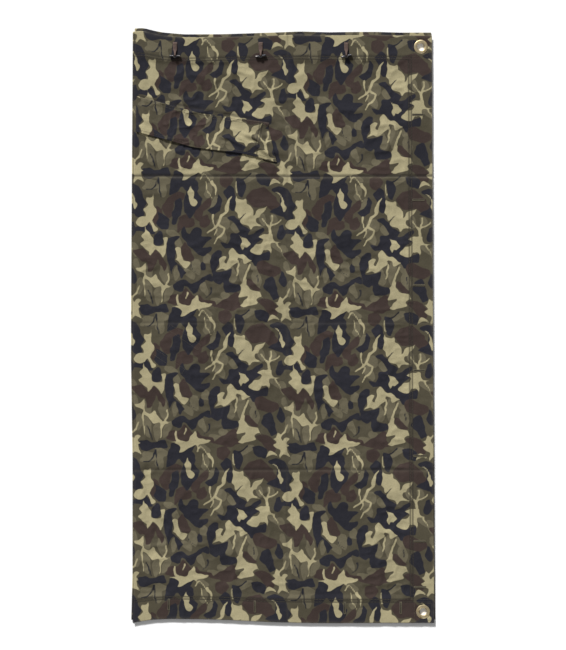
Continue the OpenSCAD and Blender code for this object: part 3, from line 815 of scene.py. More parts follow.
def wear_soil_and_painted_light(paint, color):
    """Fading, soiling and pale worn lines on a cloth's colour, with painted light: a painted highlight beside each
    crease across, and painted shade in the creases and along the seams.
    """
    place = paint.flat_place()
    color = paint.brightness(color, paint.ramp(paint.noise(place, 0.16, 3.0), 0.3, 0.7, 0.90, 1.10))
    color = paint.brightness(color, paint.ramp(paint.noise(place, 0.004, 2.0), 0.3, 0.7, 0.92, 1.08))
    # Pale lines: wear, and a painted highlight beside each crease across.
    worn = paint.math("MULTIPLY", paint.attribute("wear_and_highlight"), paint.noise(place, 0.02, 4.0))
    color = paint.mix(worn, color, WORN_AND_HIGHLIGHT)
    # Dark lines: painted shade in the creases and seams, with some soiling.
    return paint.mix(paint.attribute("soil_and_shade"), color, SOIL_AND_SHADE)


def printed_canvas():
    paint = Paint("printed_canvas", roughness=0.86, sheen=0.03, specular=0.15)
    color = wear_soil_and_painted_light(paint, print_color(paint))
    paint.weave(paint.flat_place(), 1.1 * MM, 0.12 * MM)
    return paint.finish(color)


def canvas_reverse():
    """The unprinted side, where the print shows through a little."""
    paint = Paint("canvas_reverse", roughness=0.9, sheen=0.03, specular=0.15)
    color = paint.mix(0.28, srgb(134, 127, 104), print_color(paint))
    color = wear_soil_and_painted_light(paint, color)
    paint.weave(paint.flat_place(), 1.1 * MM, 0.12 * MM)
    return paint.finish(color)


def woven_tape():
    paint = Paint("woven_tape", roughness=0.85, sheen=0.05, specular=0.2)
    place = paint.object_place()
    color = paint.mix(paint.noise(place, 0.006, 3.0), srgb(66, 53, 48), srgb(96, 79, 72))
    rows = paint.bands(place, "DIAGONAL", 1.6 * MM)
    paint.bump(rows, 0.2 * MM)
    # Darker in the grooves between the rows and lighter on their crests: painted shade and light that follow the
    # bump.
    return paint.finish(paint.brightness(color, paint.ramp(rows, 0.0, 1.0, 0.88, 1.08)))


def sewing_thread():
    paint = Paint("sewing_thread", roughness=0.7, sheen=0.05, specular=0.25)
    place = paint.object_place()
    strands = paint.bands(place, "DIAGONAL", 0.7 * MM)
    paint.bump(strands, 0.1 * MM)
    color = paint.mix(paint.noise(place, 0.03, 2.0), srgb(78, 73, 58), THREAD)
    # Darker between the strands and lighter on them: painted shade and light that follow the bump.
    return paint.finish(paint.brightness(color, paint.ramp(strands, 0.0, 1.0, 0.85, 1.1)))


def slit_shade():
    """Painted shade for the gap of a buttonhole or slit: a dark strip where the cut opens."""
    paint = Paint("cut_gap_shade", roughness=0.95)
    place = paint.object_place()
    color = paint.mix(paint.noise(place, 0.001, 2.0), srgb(24, 22, 20), srgb(52, 47, 40))
    paint.bump(paint.noise(place, 0.0008), 0.1 * MM)
    return paint.finish(color)


def dark_metal():
    paint = Paint("dark_metal", roughness=0.42, metallic=1.0)
    place = paint.object_place()
    worn = paint.ramp(paint.noise(place, 0.004, 5.0), 0.52, 0.66)
    color = paint.mix(worn, srgb(62, 62, 66), srgb(126, 122, 118))
    paint.put(paint.ramp(worn, 0.0, 1.0, 0.5, 0.32), paint.shader.inputs["Roughness"])
    paint.bump(paint.noise(place, 0.0012, 3.0), 0.05 * MM)
    return paint.finish(color)


def worn_brass():
    paint = Paint("worn_brass", roughness=0.36, metallic=1.0)
    place = paint.object_place()
    stain = paint.ramp(paint.noise(place, 0.009, 5.0), 0.45, 0.68)
    color = paint.mix(stain, srgb(240, 222, 180), srgb(168, 146, 104))
    paint.put(paint.ramp(stain, 0.0, 1.0, 0.32, 0.6), paint.shader.inputs["Roughness"])
    paint.bump(paint.noise(place, 0.0016, 4.0), 0.06 * MM)
    return paint.finish(color)


def pale_floor():
    paint = Paint("pale_floor", roughness=0.9)
    return paint.finish((0.93, 0.93, 0.93, 1.0))


PRINTED = printed_canvas()
REVERSE = canvas_reverse()
TAPE = woven_tape()
SEWING = sewing_thread()
SHADE = slit_shade()
METAL = dark_metal()
BRASS = worn_brass()


# ---------------------------------------------------------------------------
# Mesh making
# ---------------------------------------------------------------------------

def new_piece(name, points, faces, materials, face_slots=None):
    """An object with a smooth-shaded mesh."""
    mesh = bpy.data.meshes.new(name)
    mesh.from_pydata(np.asarray(points).tolist(), [], faces)
    for material in materials:
        mesh.materials.append(material)
    if face_slots is not None:
        mesh.polygons.foreach_set("material_index", face_slots)
    mesh.shade_smooth()
    mesh.update()
    piece = bpy.data.objects.new(name, mesh)
    bpy.context.scene.collection.objects.link(piece)
    return piece


def crease_soil_and_shade(x, y):
    """How dark the cloth is made in the valleys of its creases, a little above each crease across, and along the
    rows of stitching: painted shade, with some soiling.
    """
    soil_and_shade = np.zeros(np.shape(x))
    for place, depth in CROSS_CREASES:
        soil_and_shade = np.maximum(soil_and_shade, 0.8 * depth * np.exp(-((y - place - 1.0 * MM) / (3.2 * MM)) ** 2))
    soil_and_shade = np.maximum(soil_and_shade, 0.25 * np.exp(-((x - LONG_CREASE_X) / (3.0 * MM)) ** 2))
    gap = from_edges(UPPER, x, y)
    for share in HEM_ROWS:
        soil_and_shade = np.maximum(soil_and_shade, 0.75 * np.exp(-((gap - share * UPPER.hem_width) / (2.2 * MM)) ** 2))
    return soil_and_shade


def crease_wear_and_highlight(x, y):
    """How pale the cloth is made along its creases and its turned edges: wear, and a painted highlight on the lit
    side just below each crease across.
    """
    worn = np.zeros(np.shape(x))
    for place, depth in CROSS_CREASES:
        # A painted highlight just below each crease across, on the side that faces the light.
        worn = np.maximum(worn, 0.22 * depth * np.exp(-np.abs(y - place + 4 * MM) / (3.5 * MM)))
    worn = np.maximum(worn, 0.10 * np.exp(-np.abs(x - LONG_CREASE_X) / (3.0 * MM)))
    gap = np.minimum(from_edges(UPPER, x, y), x - FOLD_X)
    return np.maximum(worn, 0.30 * np.exp(-np.abs(gap) / (3.0 * MM)))


def mark_flat(piece, x, y, grain, beside_flap=0):
    """Stores each vertex's place on the flat cloth, and the print, the wear with its painted highlight, and the
    soiling with its painted shade there.

    The first vertices, as many as beside_flap, are also darkened along the flap's seam with painted shade.
    """
    values = print_values(*grain(x, y))
    values["flat_x"] = x
    values["flat_y"] = y
    values["wear_and_highlight"] = crease_wear_and_highlight(x, y)
    soil_and_shade = crease_soil_and_shade(x, y)
    # Painted shade along the flap's seam, in its groove.
    seam = beside_flap_seam(*from_flap_seam(x[:beside_flap], y[:beside_flap]), 3.5 * MM)
    soil_and_shade[:beside_flap] = np.maximum(soil_and_shade[:beside_flap], 0.7 * seam)
    values["soil_and_shade"] = soil_and_shade
    for name, numbers in values.items():
        attribute = piece.data.attributes.new(name, "FLOAT", "POINT")
        attribute.data.foreach_set("value", np.asarray(numbers, np.float32).ravel())


def lines(stops, cell=CELL):
    """Grid lines through all stops, with even steps of about one cell between them."""
    places = [stops[0]]
    for a, b in zip(stops[:-1], stops[1:]):
        count = max(1, round((b - a) / cell))
        places.extend(a + (b - a) * (k + 1) / count for k in range(count))
    return np.array(places)


def split(places):
    """Grid lines with FINE even steps between each pair."""
    return np.interp(np.arange((len(places) - 1) * FINE + 1) / FINE, np.arange(len(places)), places)


def as_is(x, y):
    """The print lies on the flat cloth without a shift."""
    return x, y


# Corners of a grid cell, in turn round it, and the neighbour past each of its sides.
CELL_CORNERS = [(0, 0), (1, 0), (1, 1), (0, 1)]
CELL_NEIGHBOURS = [(0, -1), (1, 0), (0, 1), (-1, 0)]
UNDER_FLANGE = 10 * MM


def kept_cells(flat):
    """True for the cells of a flat grid whose middles are clear of the grommets' holes."""
    middle = (flat[:, :-1, :-1] + flat[:, 1:, :-1] + flat[:, :-1, 1:] + flat[:, 1:, 1:]) / 4
    return from_nearest(GROMMETS, middle[0], middle[1]) > UNDER_FLANGE


def cell_faces(vertex, keep, corners):
    """One face for each kept cell, through its corners in turn."""
    i, j = np.nonzero(keep)
    return np.stack([vertex(i + di, j + dj) for di, dj in corners], -1).tolist()


def rim_faces(fine_at, coarse_at, keep, at_fold):
    """Faces between the fine and the coarse side along every open edge, and how many lie at the fold."""
    n, m = keep.shape
    padded = np.pad(keep, 1)
    faces = []
    butted = 0
    for side, (oi, oj) in enumerate(CELL_NEIGHBOURS):
        (ai, aj), (bi, bj) = CELL_CORNERS[side], CELL_CORNERS[(side + 1) % 4]
        for ci, cj in zip(*np.nonzero(keep & ~padded[1 + oi:n + 1 + oi, 1 + oj:m + 1 + oj])):
            rim = [fine_at(FINE * (ci + ai) + k * (bi - ai), FINE * (cj + aj) + k * (bj - aj))
                   for k in range(FINE, -1, -1)]
            faces.append([int(v) for v in rim + [coarse_at(ci + ai, cj + aj), coarse_at(ci + bi, cj + bj)]])
            butted += int(at_fold and side == 3 and ci == 0)
    return faces, butted


def cloth(name, xs, ys, flat, face, back, materials, face_up=True, grain=as_is, beside_flap=False):
    """A closed sheet of cloth over a grid: a finely divided face, a coarse back and a rim.

    flat maps the grid to the flat cloth, and face and back map the flat cloth to space.
    grain maps the flat cloth to the print. Cells over a grommet are left out.
    Where a leaf starts at the fold's strip, as many of the last rim faces as lie there are shaded flat
    and take the last material, so that leaf and strip shade as one cloth.
    """
    fine = np.stack(flat(*np.meshgrid(split(xs), split(ys), indexing="ij")))
    coarse = np.stack(flat(*np.meshgrid(xs, ys, indexing="ij")))
    keep = kept_cells(coarse)

    def fine_at(i, j):
        return i * fine.shape[2] + j

    def coarse_at(i, j):
        return fine[0].size + i * coarse.shape[2] + j

    faces = cell_faces(fine_at, np.repeat(np.repeat(keep, FINE, 0), FINE, 1), CELL_CORNERS)
    face_end = len(faces)
    faces += cell_faces(coarse_at, keep, [(j, i) for i, j in CELL_CORNERS])
    back_end = len(faces)
    rims, butted = rim_faces(fine_at, coarse_at, keep, xs[0] == SHEET_X)
    faces += rims
    if not face_up:
        faces = [f[::-1] for f in faces]

    points = np.vstack([face(*fine).reshape(-1, 3), back(*coarse).reshape(-1, 3)])
    flat_x = np.concatenate([fine[0].ravel(), coarse[0].ravel()])
    flat_y = np.concatenate([fine[1].ravel(), coarse[1].ravel()])
    used = np.zeros(len(points), bool)
    used[[v for f in faces for v in f]] = True
    number = np.cumsum(used) - 1
    faces = [[int(number[v]) for v in f] for f in faces]
    slots = np.zeros(len(faces), np.int32)
    slots[face_end:back_end] = len(materials) - 1
    smooth_faces = np.ones(len(faces), bool)
    if butted:
        slots[-butted:] = len(materials) - 1
        smooth_faces[-butted:] = False
    piece = new_piece(name, points[used], faces, materials, slots)
    piece.data.polygons.foreach_set("use_smooth", smooth_faces)
    mark_flat(piece, flat_x[used], flat_y[used], grain, np.sum(used[:fine[0].size]) if beside_flap else 0)
    return piece


HOLE_R = 14 * MM
OPENED_R = 32 * MM
PATCH_HALF = 30 * MM
PATCH_HOLE_R = 18.5 * MM
PATCH_CELL = 6 * MM


def open_hole(x, y, place, hole_r, reach):
    """Moves flat places within reach of a grommet outward, so that a round hole opens."""
    dx = x - place.x
    dy = y - place.y
    r = np.hypot(dx, dy)
    opened = hole_r + r * (1 - hole_r / reach)
    scale = np.where(r < reach, opened / np.maximum(r, 1e-9), 1.0)
    return place.x + dx * scale, place.y + dy * scale


def leaf_flat(leaf):
    """Maps an upright rectangle to a leaf's flat outline, with its holes opened round the grommets."""
    def flat(x, y):
        x = SHEET_X + (x - SHEET_X) * (leaf.edge(y) - SHEET_X) / (leaf.edge_at_bottom - SHEET_X)
        for place in GROMMETS:
            x, y = open_hole(x, y, place, HOLE_R, OPENED_R)
        return x, y
    return flat


def leaf_columns(leaf, x_from):
    """Grid lines across a leaf, with a cell over the grommets and narrow cells at the edge."""
    upright = [SHEET_X + (g.x - SHEET_X) * (leaf.edge_at_bottom - SHEET_X) / (leaf.edge(g.y) - SHEET_X)
               for g in GROMMETS]
    hole = sum(upright) / 2
    edge = leaf.edge_at_bottom
    stops = [hole - CELL / 2, hole + CELL / 2, edge - RIM_CELL, edge]
    if x_from < LONG_CREASE_X:
        stops.insert(0, LONG_CREASE_X)
    return lines([x_from] + stops)


def leaf_rows(leaf, y_from, y_to):
    """Grid lines along a leaf between two heights, with a cell over each grommet."""
    half = CELL / 2
    stops = {y_from, y_to}
    for place in GROMMETS:
        stops |= {place.y - half, place.y + half}
    stops |= {place for place, _ in CROSS_CREASES}
    stops |= {leaf.bottom + RIM_CELL, leaf.top - RIM_CELL}
    return lines(sorted(s for s in stops if y_from <= s <= y_to))


def ride(piece, body, slot, *nodes):
    """Puts a finished piece on its body and hides the CAD nodes it stands for."""
    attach(piece, body)
    if nodes:
        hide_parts(*nodes)
    return piece


# ---------------------------------------------------------------------------
# The two leaves, their hems and the fold
# ---------------------------------------------------------------------------

def leaf_cloth(side, leaf, layer):
    """The panel of one leaf. Its printed face is the leaf's outer side."""
    piece = cloth(f"{side}_cloth", leaf_columns(leaf, SHEET_X), leaf_rows(leaf, leaf.bottom, leaf.top),
                  leaf_flat(leaf), layer(0.0), layer(CLOTH_T), [PRINTED, REVERSE], face_up=side == "upper",
                  beside_flap=side == "upper")
    return ride(piece, f"{side}_leaf", "canvas_print", f"{side}_panel")


def hem_grain(x, y):
    """The print on the turned hems, which is another part of the cloth."""
    return x + 0.11, y + 0.07


def hem_cloth(side, leaf, layer):
    """The three turned hems of one leaf. The turn shows the printed face inside the fold."""
    hem = leaf.hem_width
    inner = leaf.edge_at_bottom - hem
    spans = {
        "top": (SHEET_X, leaf.top - hem, leaf.top),
        "bottom": (SHEET_X, leaf.bottom, leaf.bottom + hem),
        "side": (inner, leaf.bottom + hem + 0.2 * MM, leaf.top - hem - 0.2 * MM),
    }
    made = []
    for end, (x_from, y_from, y_to) in spans.items():
        piece = cloth(f"{side}_{end}_hem_cloth", leaf_columns(leaf, x_from), leaf_rows(leaf, y_from, y_to),
                      leaf_flat(leaf), layer(1.95 * CLOTH_T), layer(CLOTH_T), [PRINTED, REVERSE],
                      face_up=side == "lower", grain=hem_grain)
        made.append(ride(piece, f"{side}_leaf", "canvas_reverse", f"{side}_{end}_hem"))
    return made


def patch_lines(middle):
    """Grid lines across a corner patch, with one cell over its grommet."""
    stops = [middle - PATCH_HALF, middle - PATCH_CELL / 2, middle + PATCH_CELL / 2, middle + PATCH_HALF]
    return lines(stops, PATCH_CELL)


def corner_patches(side, layer):
    """Square patches between the hem and the washer of each grommet."""
    made = []
    for end, place in zip(("top", "bottom"), GROMMETS):
        def flat(x, y):
            return open_hole(x, y, place, PATCH_HOLE_R, PATCH_HALF)

        piece = cloth(f"{side}_{end}_corner_patch", patch_lines(place.x), patch_lines(place.y), flat,
                      layer(2.9 * CLOTH_T), layer(2 * CLOTH_T), [TAPE], face_up=side == "lower")
        made.append(ride(piece, f"{side}_leaf", "tape", f"{side}_corner_patch_{end}"))
    return made


# Angles round the fold, from straight down under the hinge line to straight up.
FOLD_ARC = [math.pi * k / 8 for k in range(9)]


def fold_profile(top, low, ys):
    """Points of one face of the fold's strip, from the lower leaf round to the upper leaf."""
    def row_at(layer, x):
        return layer(np.full_like(ys, x), ys)

    low_end = row_at(low, AXIS.x)
    top_end = row_at(top, AXIS.x)
    middle = (low_end + top_end) / 2
    radius = (top_end[:, 2] - low_end[:, 2]) / 2
    rows = [row_at(low, SHEET_X)]
    for a in FOLD_ARC:
        row = middle.copy()
        row[:, 0] -= radius * math.sin(a)
        row[:, 2] -= radius * math.cos(a)
        rows.append(row)
    rows.append(row_at(top, SHEET_X))
    return np.stack(rows)


def fold_cloth():
    """The strip of cloth that goes round the fold, from the lower leaf up to the upper leaf.
    """
    ys = split(lines([LOWER.bottom] + [place for place, _ in reversed(CROSS_CREASES)] + [UPPER.top]))
    outer = fold_profile(upper_layer(0.0), lower_layer(0.0), ys)
    inner = fold_profile(upper_layer(CLOTH_T), lower_layer(CLOTH_T), ys)
    count, length = outer.shape[:2]
    ring = np.concatenate([outer, inner[::-1]])
    around = len(ring)
    spans = [(a, k) for a in range(around) for k in range(length - 1)]
    faces = []
    for a, k in spans:
        here = a * length + k
        beyond = ((a + 1) % around) * length + k
        faces.append([here, beyond, beyond + 1, here + 1])
    faces.append([a * length for a in range(around)][::-1])
    faces.append([a * length + length - 1 for a in range(around)])

    hem = UPPER.hem_width
    in_hem = [y < LOWER.bottom + hem or y > UPPER.top - hem for y in (ys[:-1] + ys[1:]) / 2]
    slots = [0 if a < count - 1 or in_hem[k] else 1 for a, k in spans] + [0, 0]
    piece = new_piece("fold_cloth", ring.reshape(-1, 3), faces, [PRINTED, REVERSE], slots)
    joins = (count - 1, around - 1)
    piece.data.polygons.foreach_set("use_smooth", [a not in joins for a, _ in spans] + [False, False])

    steps = [STRIP_W] + [0.0] * len(FOLD_ARC) + [STRIP_W]
    strip_x = np.array(steps + steps[::-1])[:, None] + AXIS.x
    mark_flat(piece, (strip_x + 0 * ys).ravel(), (0 * strip_x + ys).ravel(), as_is)
    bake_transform(piece)
    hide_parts("fold_edge")
    return piece


# ---------------------------------------------------------------------------
# Stitching
# ---------------------------------------------------------------------------

PITCH = 4.4 * MM

# Rings of four points along a stitch: share of its length, share of its thickness, rise in thicknesses.
STITCH_RINGS = [(0.0, 0.35, -0.3), (0.18, 0.9, 0.15), (0.5, 1.0, 0.3), (0.82, 0.9, 0.15), (1.0, 0.35, -0.3)]
STITCH_SECTION = [(1, 0), (0, 0.6), (-1, 0), (0, -0.6)]


def stitch_places(path, pitch=PITCH):
    """Start and end of each stitch along a chain of flat places."""
    path = np.asarray(path, float)
    lengths = np.linalg.norm(np.diff(path, axis=0), axis=1)
    run = np.concatenate([[0], np.cumsum(lengths)])
    at = np.arange(0.5 * pitch, run[-1] - 0.5 * pitch, pitch)
    at = at + 0.08 * pitch * soft_noise(at, 0 * at, 0.01, 41)
    starts = np.stack([np.interp(at, run, path[:, k]) for k in (0, 1)], -1)
    ends = np.stack([np.interp(at + 0.68 * pitch, run, path[:, k]) for k in (0, 1)], -1)
    return starts, ends


def stitches(name, paths, surface, outward, body, thick=0.8 * MM, pitch=PITCH):
    """Rows of stitches as one piece: each stitch is a short plump thread lying on the surface."""
    pairs = [stitch_places(path, pitch) for path in paths]
    starts = np.vstack([p[0] for p in pairs])
    ends = np.vstack([p[1] for p in pairs])
    a = surface(starts[:, 0], starts[:, 1])
    b = surface(ends[:, 0], ends[:, 1])
    run = b - a
    run /= np.linalg.norm(run, axis=1, keepdims=True)
    up = np.array([0, 0, outward], float)
    across = np.cross(up, run)
    across /= np.linalg.norm(across, axis=1, keepdims=True)
    rings = []
    for share, plump, rise in STITCH_RINGS:
        middle = a + (b - a) * share + up * rise * thick
        for side, lift in STITCH_SECTION:
            rings.append(middle + across * side * plump * thick / 2 + up * lift * plump * thick)
    points = np.stack(rings, 1).reshape(-1, 3)
    one = [[4 * r + k, 4 * r + (k + 1) % 4, 4 * r + 4 + (k + 1) % 4, 4 * r + 4 + k]
           for r in range(4) for k in range(4)]
    one += [[3, 2, 1, 0], [16, 17, 18, 19]]
    one = [f[::-1] for f in one] if outward > 0 else one
    faces = [[v + 20 * s for v in f] for s in range(len(a)) for f in one]
    piece = new_piece(name, points, faces, [SEWING])
    return ride(piece, body, "thread")


def hem_paths(leaf, shares):
    """Chains of flat places along the rows of stitching of a leaf's three hems."""
    paths = []
    for share in shares:
        gap = share * leaf.hem_width
        right = [(leaf.edge(y) - gap, y) for y in (leaf.bottom + 0.01, leaf.top - 0.01)]
        paths.append([(SHEET_X, leaf.top - gap), (leaf.edge(leaf.top) - 0.01, leaf.top - gap)])
        paths.append([(SHEET_X, leaf.bottom + gap), (leaf.edge(leaf.bottom) - 0.01, leaf.bottom + gap)])
        paths.append([(right[0][0], right[0][1] + gap), (right[1][0], right[1][1] - gap)])
    return paths


def box_path(u0, v0, u1, v1):
    """A chain round a box, which starts and ends at its first corner."""
    return [(u0, v0), (u1, v0), (u1, v1), (u0, v1), (u0, v0)]


def square_path(place, half):
    """A square chain of flat places round a place."""
    return [(place.x + x, place.y + y) for x, y in box_path(-half, -half, half, half)]


def leaf_stitching(side, leaf, layer):
    """Hem and patch stitching on both faces of one leaf."""
    out = 1 if side == "upper" else -1
    paths = hem_paths(leaf, HEM_ROWS)
    patches = [square_path(place, 26 * MM) for place in GROMMETS]
    stitches(f"{side}_outer_stitches", paths + patches, layer(0.0), out, f"{side}_leaf")
    stitches(f"{side}_inner_stitches", paths, layer(2 * CLOTH_T), -out, f"{side}_leaf")
    stitches(f"{side}_patch_stitches", patches, layer(2.9 * CLOTH_T), -out, f"{side}_leaf")


# ---------------------------------------------------------------------------
# Buttonholes
# ---------------------------------------------------------------------------

# Vertices this near each other belong to the same buttonhole.
HOLE_GAP = 60 * MM


def hole_row(name):
    """Middles of the buttonholes of one leaf's row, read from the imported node's separate rims."""
    node = frame["nodes"][name]
    places = np.array([node.matrix_world @ v.co for v in node.data.vertices])
    middles = []
    for point in places:
        if all(np.hypot(*(point - m)[:2]) > HOLE_GAP for m in middles):
            near = places[np.hypot(*(places - point)[:, :2].T) < HOLE_GAP]
            middles.append((near.min(0) + near.max(0)) / 2)
    return middles


HOLE_HALF = 17.5 * MM
CUT_HALF = 0.9 * MM
RIM_W = 2.6 * MM
RIM_STEPS = 120
CUT_OUTLINE = np.array([(-1, 0), (-0.8, -1), (0.8, -1), (1, 0), (0.8, 1), (-0.8, 1)])


def thread_rim(x0, y0, upright, surface, out):
    """Rings of six points along a buttonhole's rim, a cord of thread whose wraps show as ridges."""
    k = np.arange(RIM_STEPS)
    a = math.tau * k / RIM_STEPS
    straight = np.clip(1.18 * np.cos(a), -1, 1) * HOLE_HALF
    bar = np.clip(2.4 * np.sin(a), -1, 1) * (CUT_HALF + RIM_W / 2)
    ridge = np.where(k % 2, 1.0, 0.8)
    rings = []
    for q in range(6):
        b = math.tau * q / 6
        wide = 1 + RIM_W / 2 * ridge * math.cos(b) / (CUT_HALF + RIM_W / 2)
        long = 1 + RIM_W / 2 * ridge * math.cos(b) / HOLE_HALF
        u, v = straight * long, bar * wide
        x, y = (v, u) if upright else (u, v)
        ground = surface(x0 + x, y0 + y)
        ground[:, 2] += out * (0.3 * MM + 0.6 * MM * ridge * math.sin(b))
        rings.append(ground)
    return np.stack(rings, 1).reshape(-1, 3)


def buttonholes(side, layer):
    """Thread rims of all the buttonholes of one leaf, and dark strips of painted shade in their cuts, on its outer
    and inner faces.
    """
    rim_points, cut_points = [], []
    for row, upright in (("bottom", True), ("side", False)):
        for x, y, _ in hole_row(f"{side}_{row}_buttonholes"):
            for depth in (0.0, 2 * CLOTH_T):
                out = (1 if side == "upper" else -1) * (1 if depth == 0 else -1)
                surface = layer(depth)
                rim_points.append(thread_rim(x, y, upright, surface, out))
                u = CUT_OUTLINE[:, 0] * (HOLE_HALF - 0.5 * MM)
                v = CUT_OUTLINE[:, 1] * CUT_HALF
                px, py = (v, u) if upright else (u, v)
                flat = surface(x + px, y + py)
                for rise in (0.25 * MM, -0.1 * MM):
                    cut_points.append(flat + np.array([0, 0, out * rise]))
    rim_faces = [[6 * k + q, 6 * ((k + 1) % RIM_STEPS) + q, 6 * ((k + 1) % RIM_STEPS) + (q + 1) % 6,
                  6 * k + (q + 1) % 6] for k in range(RIM_STEPS) for q in range(6)]
    faces = [[v + 6 * RIM_STEPS * n for v in f] for n in range(len(rim_points)) for f in rim_faces]
    rims = new_piece(f"{side}_buttonhole_rims", np.vstack(rim_points), faces, [SEWING])
    outward_normals(rims)
    ride(rims, f"{side}_leaf", "thread", f"{side}_bottom_buttonholes", f"{side}_side_buttonholes")
    # Each cut is a dark prism of painted shade where the gap would show.
    cut_faces = [[q, (q + 1) % 6, 6 + (q + 1) % 6, 6 + q] for q in range(6)]
    cut_faces += [[5, 4, 3, 2, 1, 0], [6, 7, 8, 9, 10, 11]]
    faces = [[v + 12 * n for v in f] for n in range(len(cut_points) // 2) for f in cut_faces]
    cuts = new_piece(f"{side}_buttonhole_cuts", np.vstack(cut_points), faces, [SHADE])
    outward_normals(cuts)
    ride(cuts, f"{side}_leaf", "canvas_reverse")


def outward_normals(piece):
    """Turns the faces of a piece made of closed shells to the outside."""
    mesh = bmesh.new()
    mesh.from_mesh(piece.data)
    bmesh.ops.recalc_face_normals(mesh, faces=mesh.faces)
    mesh.to_mesh(piece.data)
    mesh.free()


# ---------------------------------------------------------------------------
# The arm slit and its flap
# ---------------------------------------------------------------------------

FLAP_L = 412 * MM
FLAP_W = 92 * MM
FLAP_MARGIN = 14 * MM
FLAP_FAR = 46 * MM
FLAP_DROP = 8 * MM
FLAP_UP = Vector((-FLAP_ALONG.y, FLAP_ALONG.x, 0))
FLAP_NEAR_SLANT = math.radians(10.9)

# The loose edge drops by FLAP_DROP from this place along the flap on, over this length.
DROP_START = 0.33
DROP_LENGTH = 0.12

# How far the flap sags down the sheet, along its length.
FLAP_SAG = [(-0.02, 0.002), (0.095, -0.005), (0.203, -0.013), (0.303, -0.007), (0.400, 0.0), (0.50, -0.001)]

# Diagonal wrinkles, along the flap and above its hinge: start, end, millimetres high, metres wide.
FLAP_FOLDS = [
    ((0.30, -0.02), (0.46, -0.06), 4.4, 0.007),
    ((0.33, 0.00), (0.44, -0.09), 4.6, 0.007),
    ((0.37, 0.01), (0.43, -0.05), 3.6, 0.006),
    ((0.36, -0.05), (0.455, -0.095), 3.8, 0.006),
    ((0.24, -0.03), (0.38, -0.08), 2.6, 0.008),
    ((0.12, -0.02), (0.26, -0.05), 2.0, 0.009),
    ((0.02, -0.05), (0.14, -0.075), 1.8, 0.009),
]


def beside_hinge(u, v):
    """X and Y of a point at u along the flap's hinge line and v above it."""
    return FLAP_HINGE.x + u * FLAP_ALONG.x + v * FLAP_UP.x, FLAP_HINGE.y + u * FLAP_ALONG.y + v * FLAP_UP.y


def flap_plan(u, v):
    """Place in plan of a point of the sagging flap."""
    return beside_hinge(u, v + along_curve(u, FLAP_SAG))


def dropped(u):
    """Share of the drop at a place along the flap's loose edge."""
    return smooth((u - DROP_START) / DROP_LENGTH)


def flap_flat(a, b):
    """Maps a rectangle to the flap's outline: a slanting near end, and a far end that runs on and drops."""
    down = np.clip(-b / FLAP_W, 0, 1)
    near_end = down * FLAP_W * math.tan(FLAP_NEAR_SLANT)
    far_end = FLAP_L + FLAP_FAR * down
    u = near_end + a / FLAP_L * (far_end - near_end)
    v = np.where(b < 0, b * (1 + FLAP_DROP / FLAP_W * dropped(u)), b)
    return u, v


def flap_grain(u, v):
    """The print on the flap, which runs straight down the sheet but is another part of the cloth."""
    x, y = beside_hinge(u, v)
    return x + 0.019, y + 0.160


def flap_folds(u, v):
    """Height of the flap's own wrinkles."""
    z = 0.5 * MM * soft_noise(u, v, 0.05, 51) + 0.25 * MM * soft_noise(u, v, 0.018, 52)
    for start, end, height, width in FLAP_FOLDS:
        z = z + wrinkle(u, v, start, end, height * MM, width, bow=0.0, fade=0.4)
    return z


def flap_layer(depth):
    """Maps a place on the flat flap to space, at a depth below its outer face."""
    def place(u, v):
        x, y = flap_plan(u, v)
        loose = smooth(-v / (0.6 * FLAP_W))
        ground = relief(x, y)
        curl = 1.6 * MM * smooth((-v / FLAP_W - 0.55) / 0.45)
        z = ground + CLOTH_T + 0.25 * MM + loose * (0.9 * MM + np.abs(flap_folds(u, v))) + curl
        px, py = laid_place(x, y)
        gap = np.minimum(np.minimum(v + FLAP_W * 1.06, FLAP_MARGIN - v), np.minimum(u + 1, FLAP_L + 1 - u))
        arch = np.sqrt(1 - np.clip(1 - gap / (1.2 * MM), 0, 1) ** 2)
        return np.stack([px, py, z - CLOTH_T / 2 - (depth - CLOTH_T / 2) * np.maximum(arch, 0.1)], -1)
    return place


def flap_cloth():
    """The flap: its margin is sewn to the upper leaf, and the rest lies loose below the hinge line."""
    xs = lines([0.0, RIM_CELL, FLAP_L - RIM_CELL, FLAP_L], 7 * MM)
    ys = lines([-FLAP_W, -FLAP_W + RIM_CELL, 0.0, FLAP_MARGIN - RIM_CELL, FLAP_MARGIN], 7 * MM)
    piece = cloth("flap_cloth", xs, ys, flap_flat, flap_layer(0.0), flap_layer(CLOTH_T), [PRINTED, REVERSE],
                  grain=flap_grain, beside_flap=True)
    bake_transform(piece)
    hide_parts("slit_flap", "flap_margin")
    return piece


def flap_stitching():
    """Two rows on the sewn margin, and one along the hem of the loose edge."""
    margin = [[(0.004, v), (FLAP_L - 0.004, v)] for v in (3.5 * MM, 10.5 * MM)]
    stitches("flap_margin_stitches", margin, flap_layer(0.0), 1, "upper_leaf")
    hem_u = np.linspace(0.02, FLAP_L + 0.03, 40)
    hem = [[(u, -(FLAP_W - 8 * MM) - FLAP_DROP * float(dropped(u))) for u in hem_u]]
    stitches("flap_hem_stitches", hem, flap_layer(0.0), 1, "flap")


SLIT_START = 32 * MM
SLIT_L = 340 * MM
SLIT_DOWN = -46 * MM


def slit_place(u, v):
    """Place in plan of a point along the slit and above it."""
    return beside_hinge(u + SLIT_START, v + SLIT_DOWN)


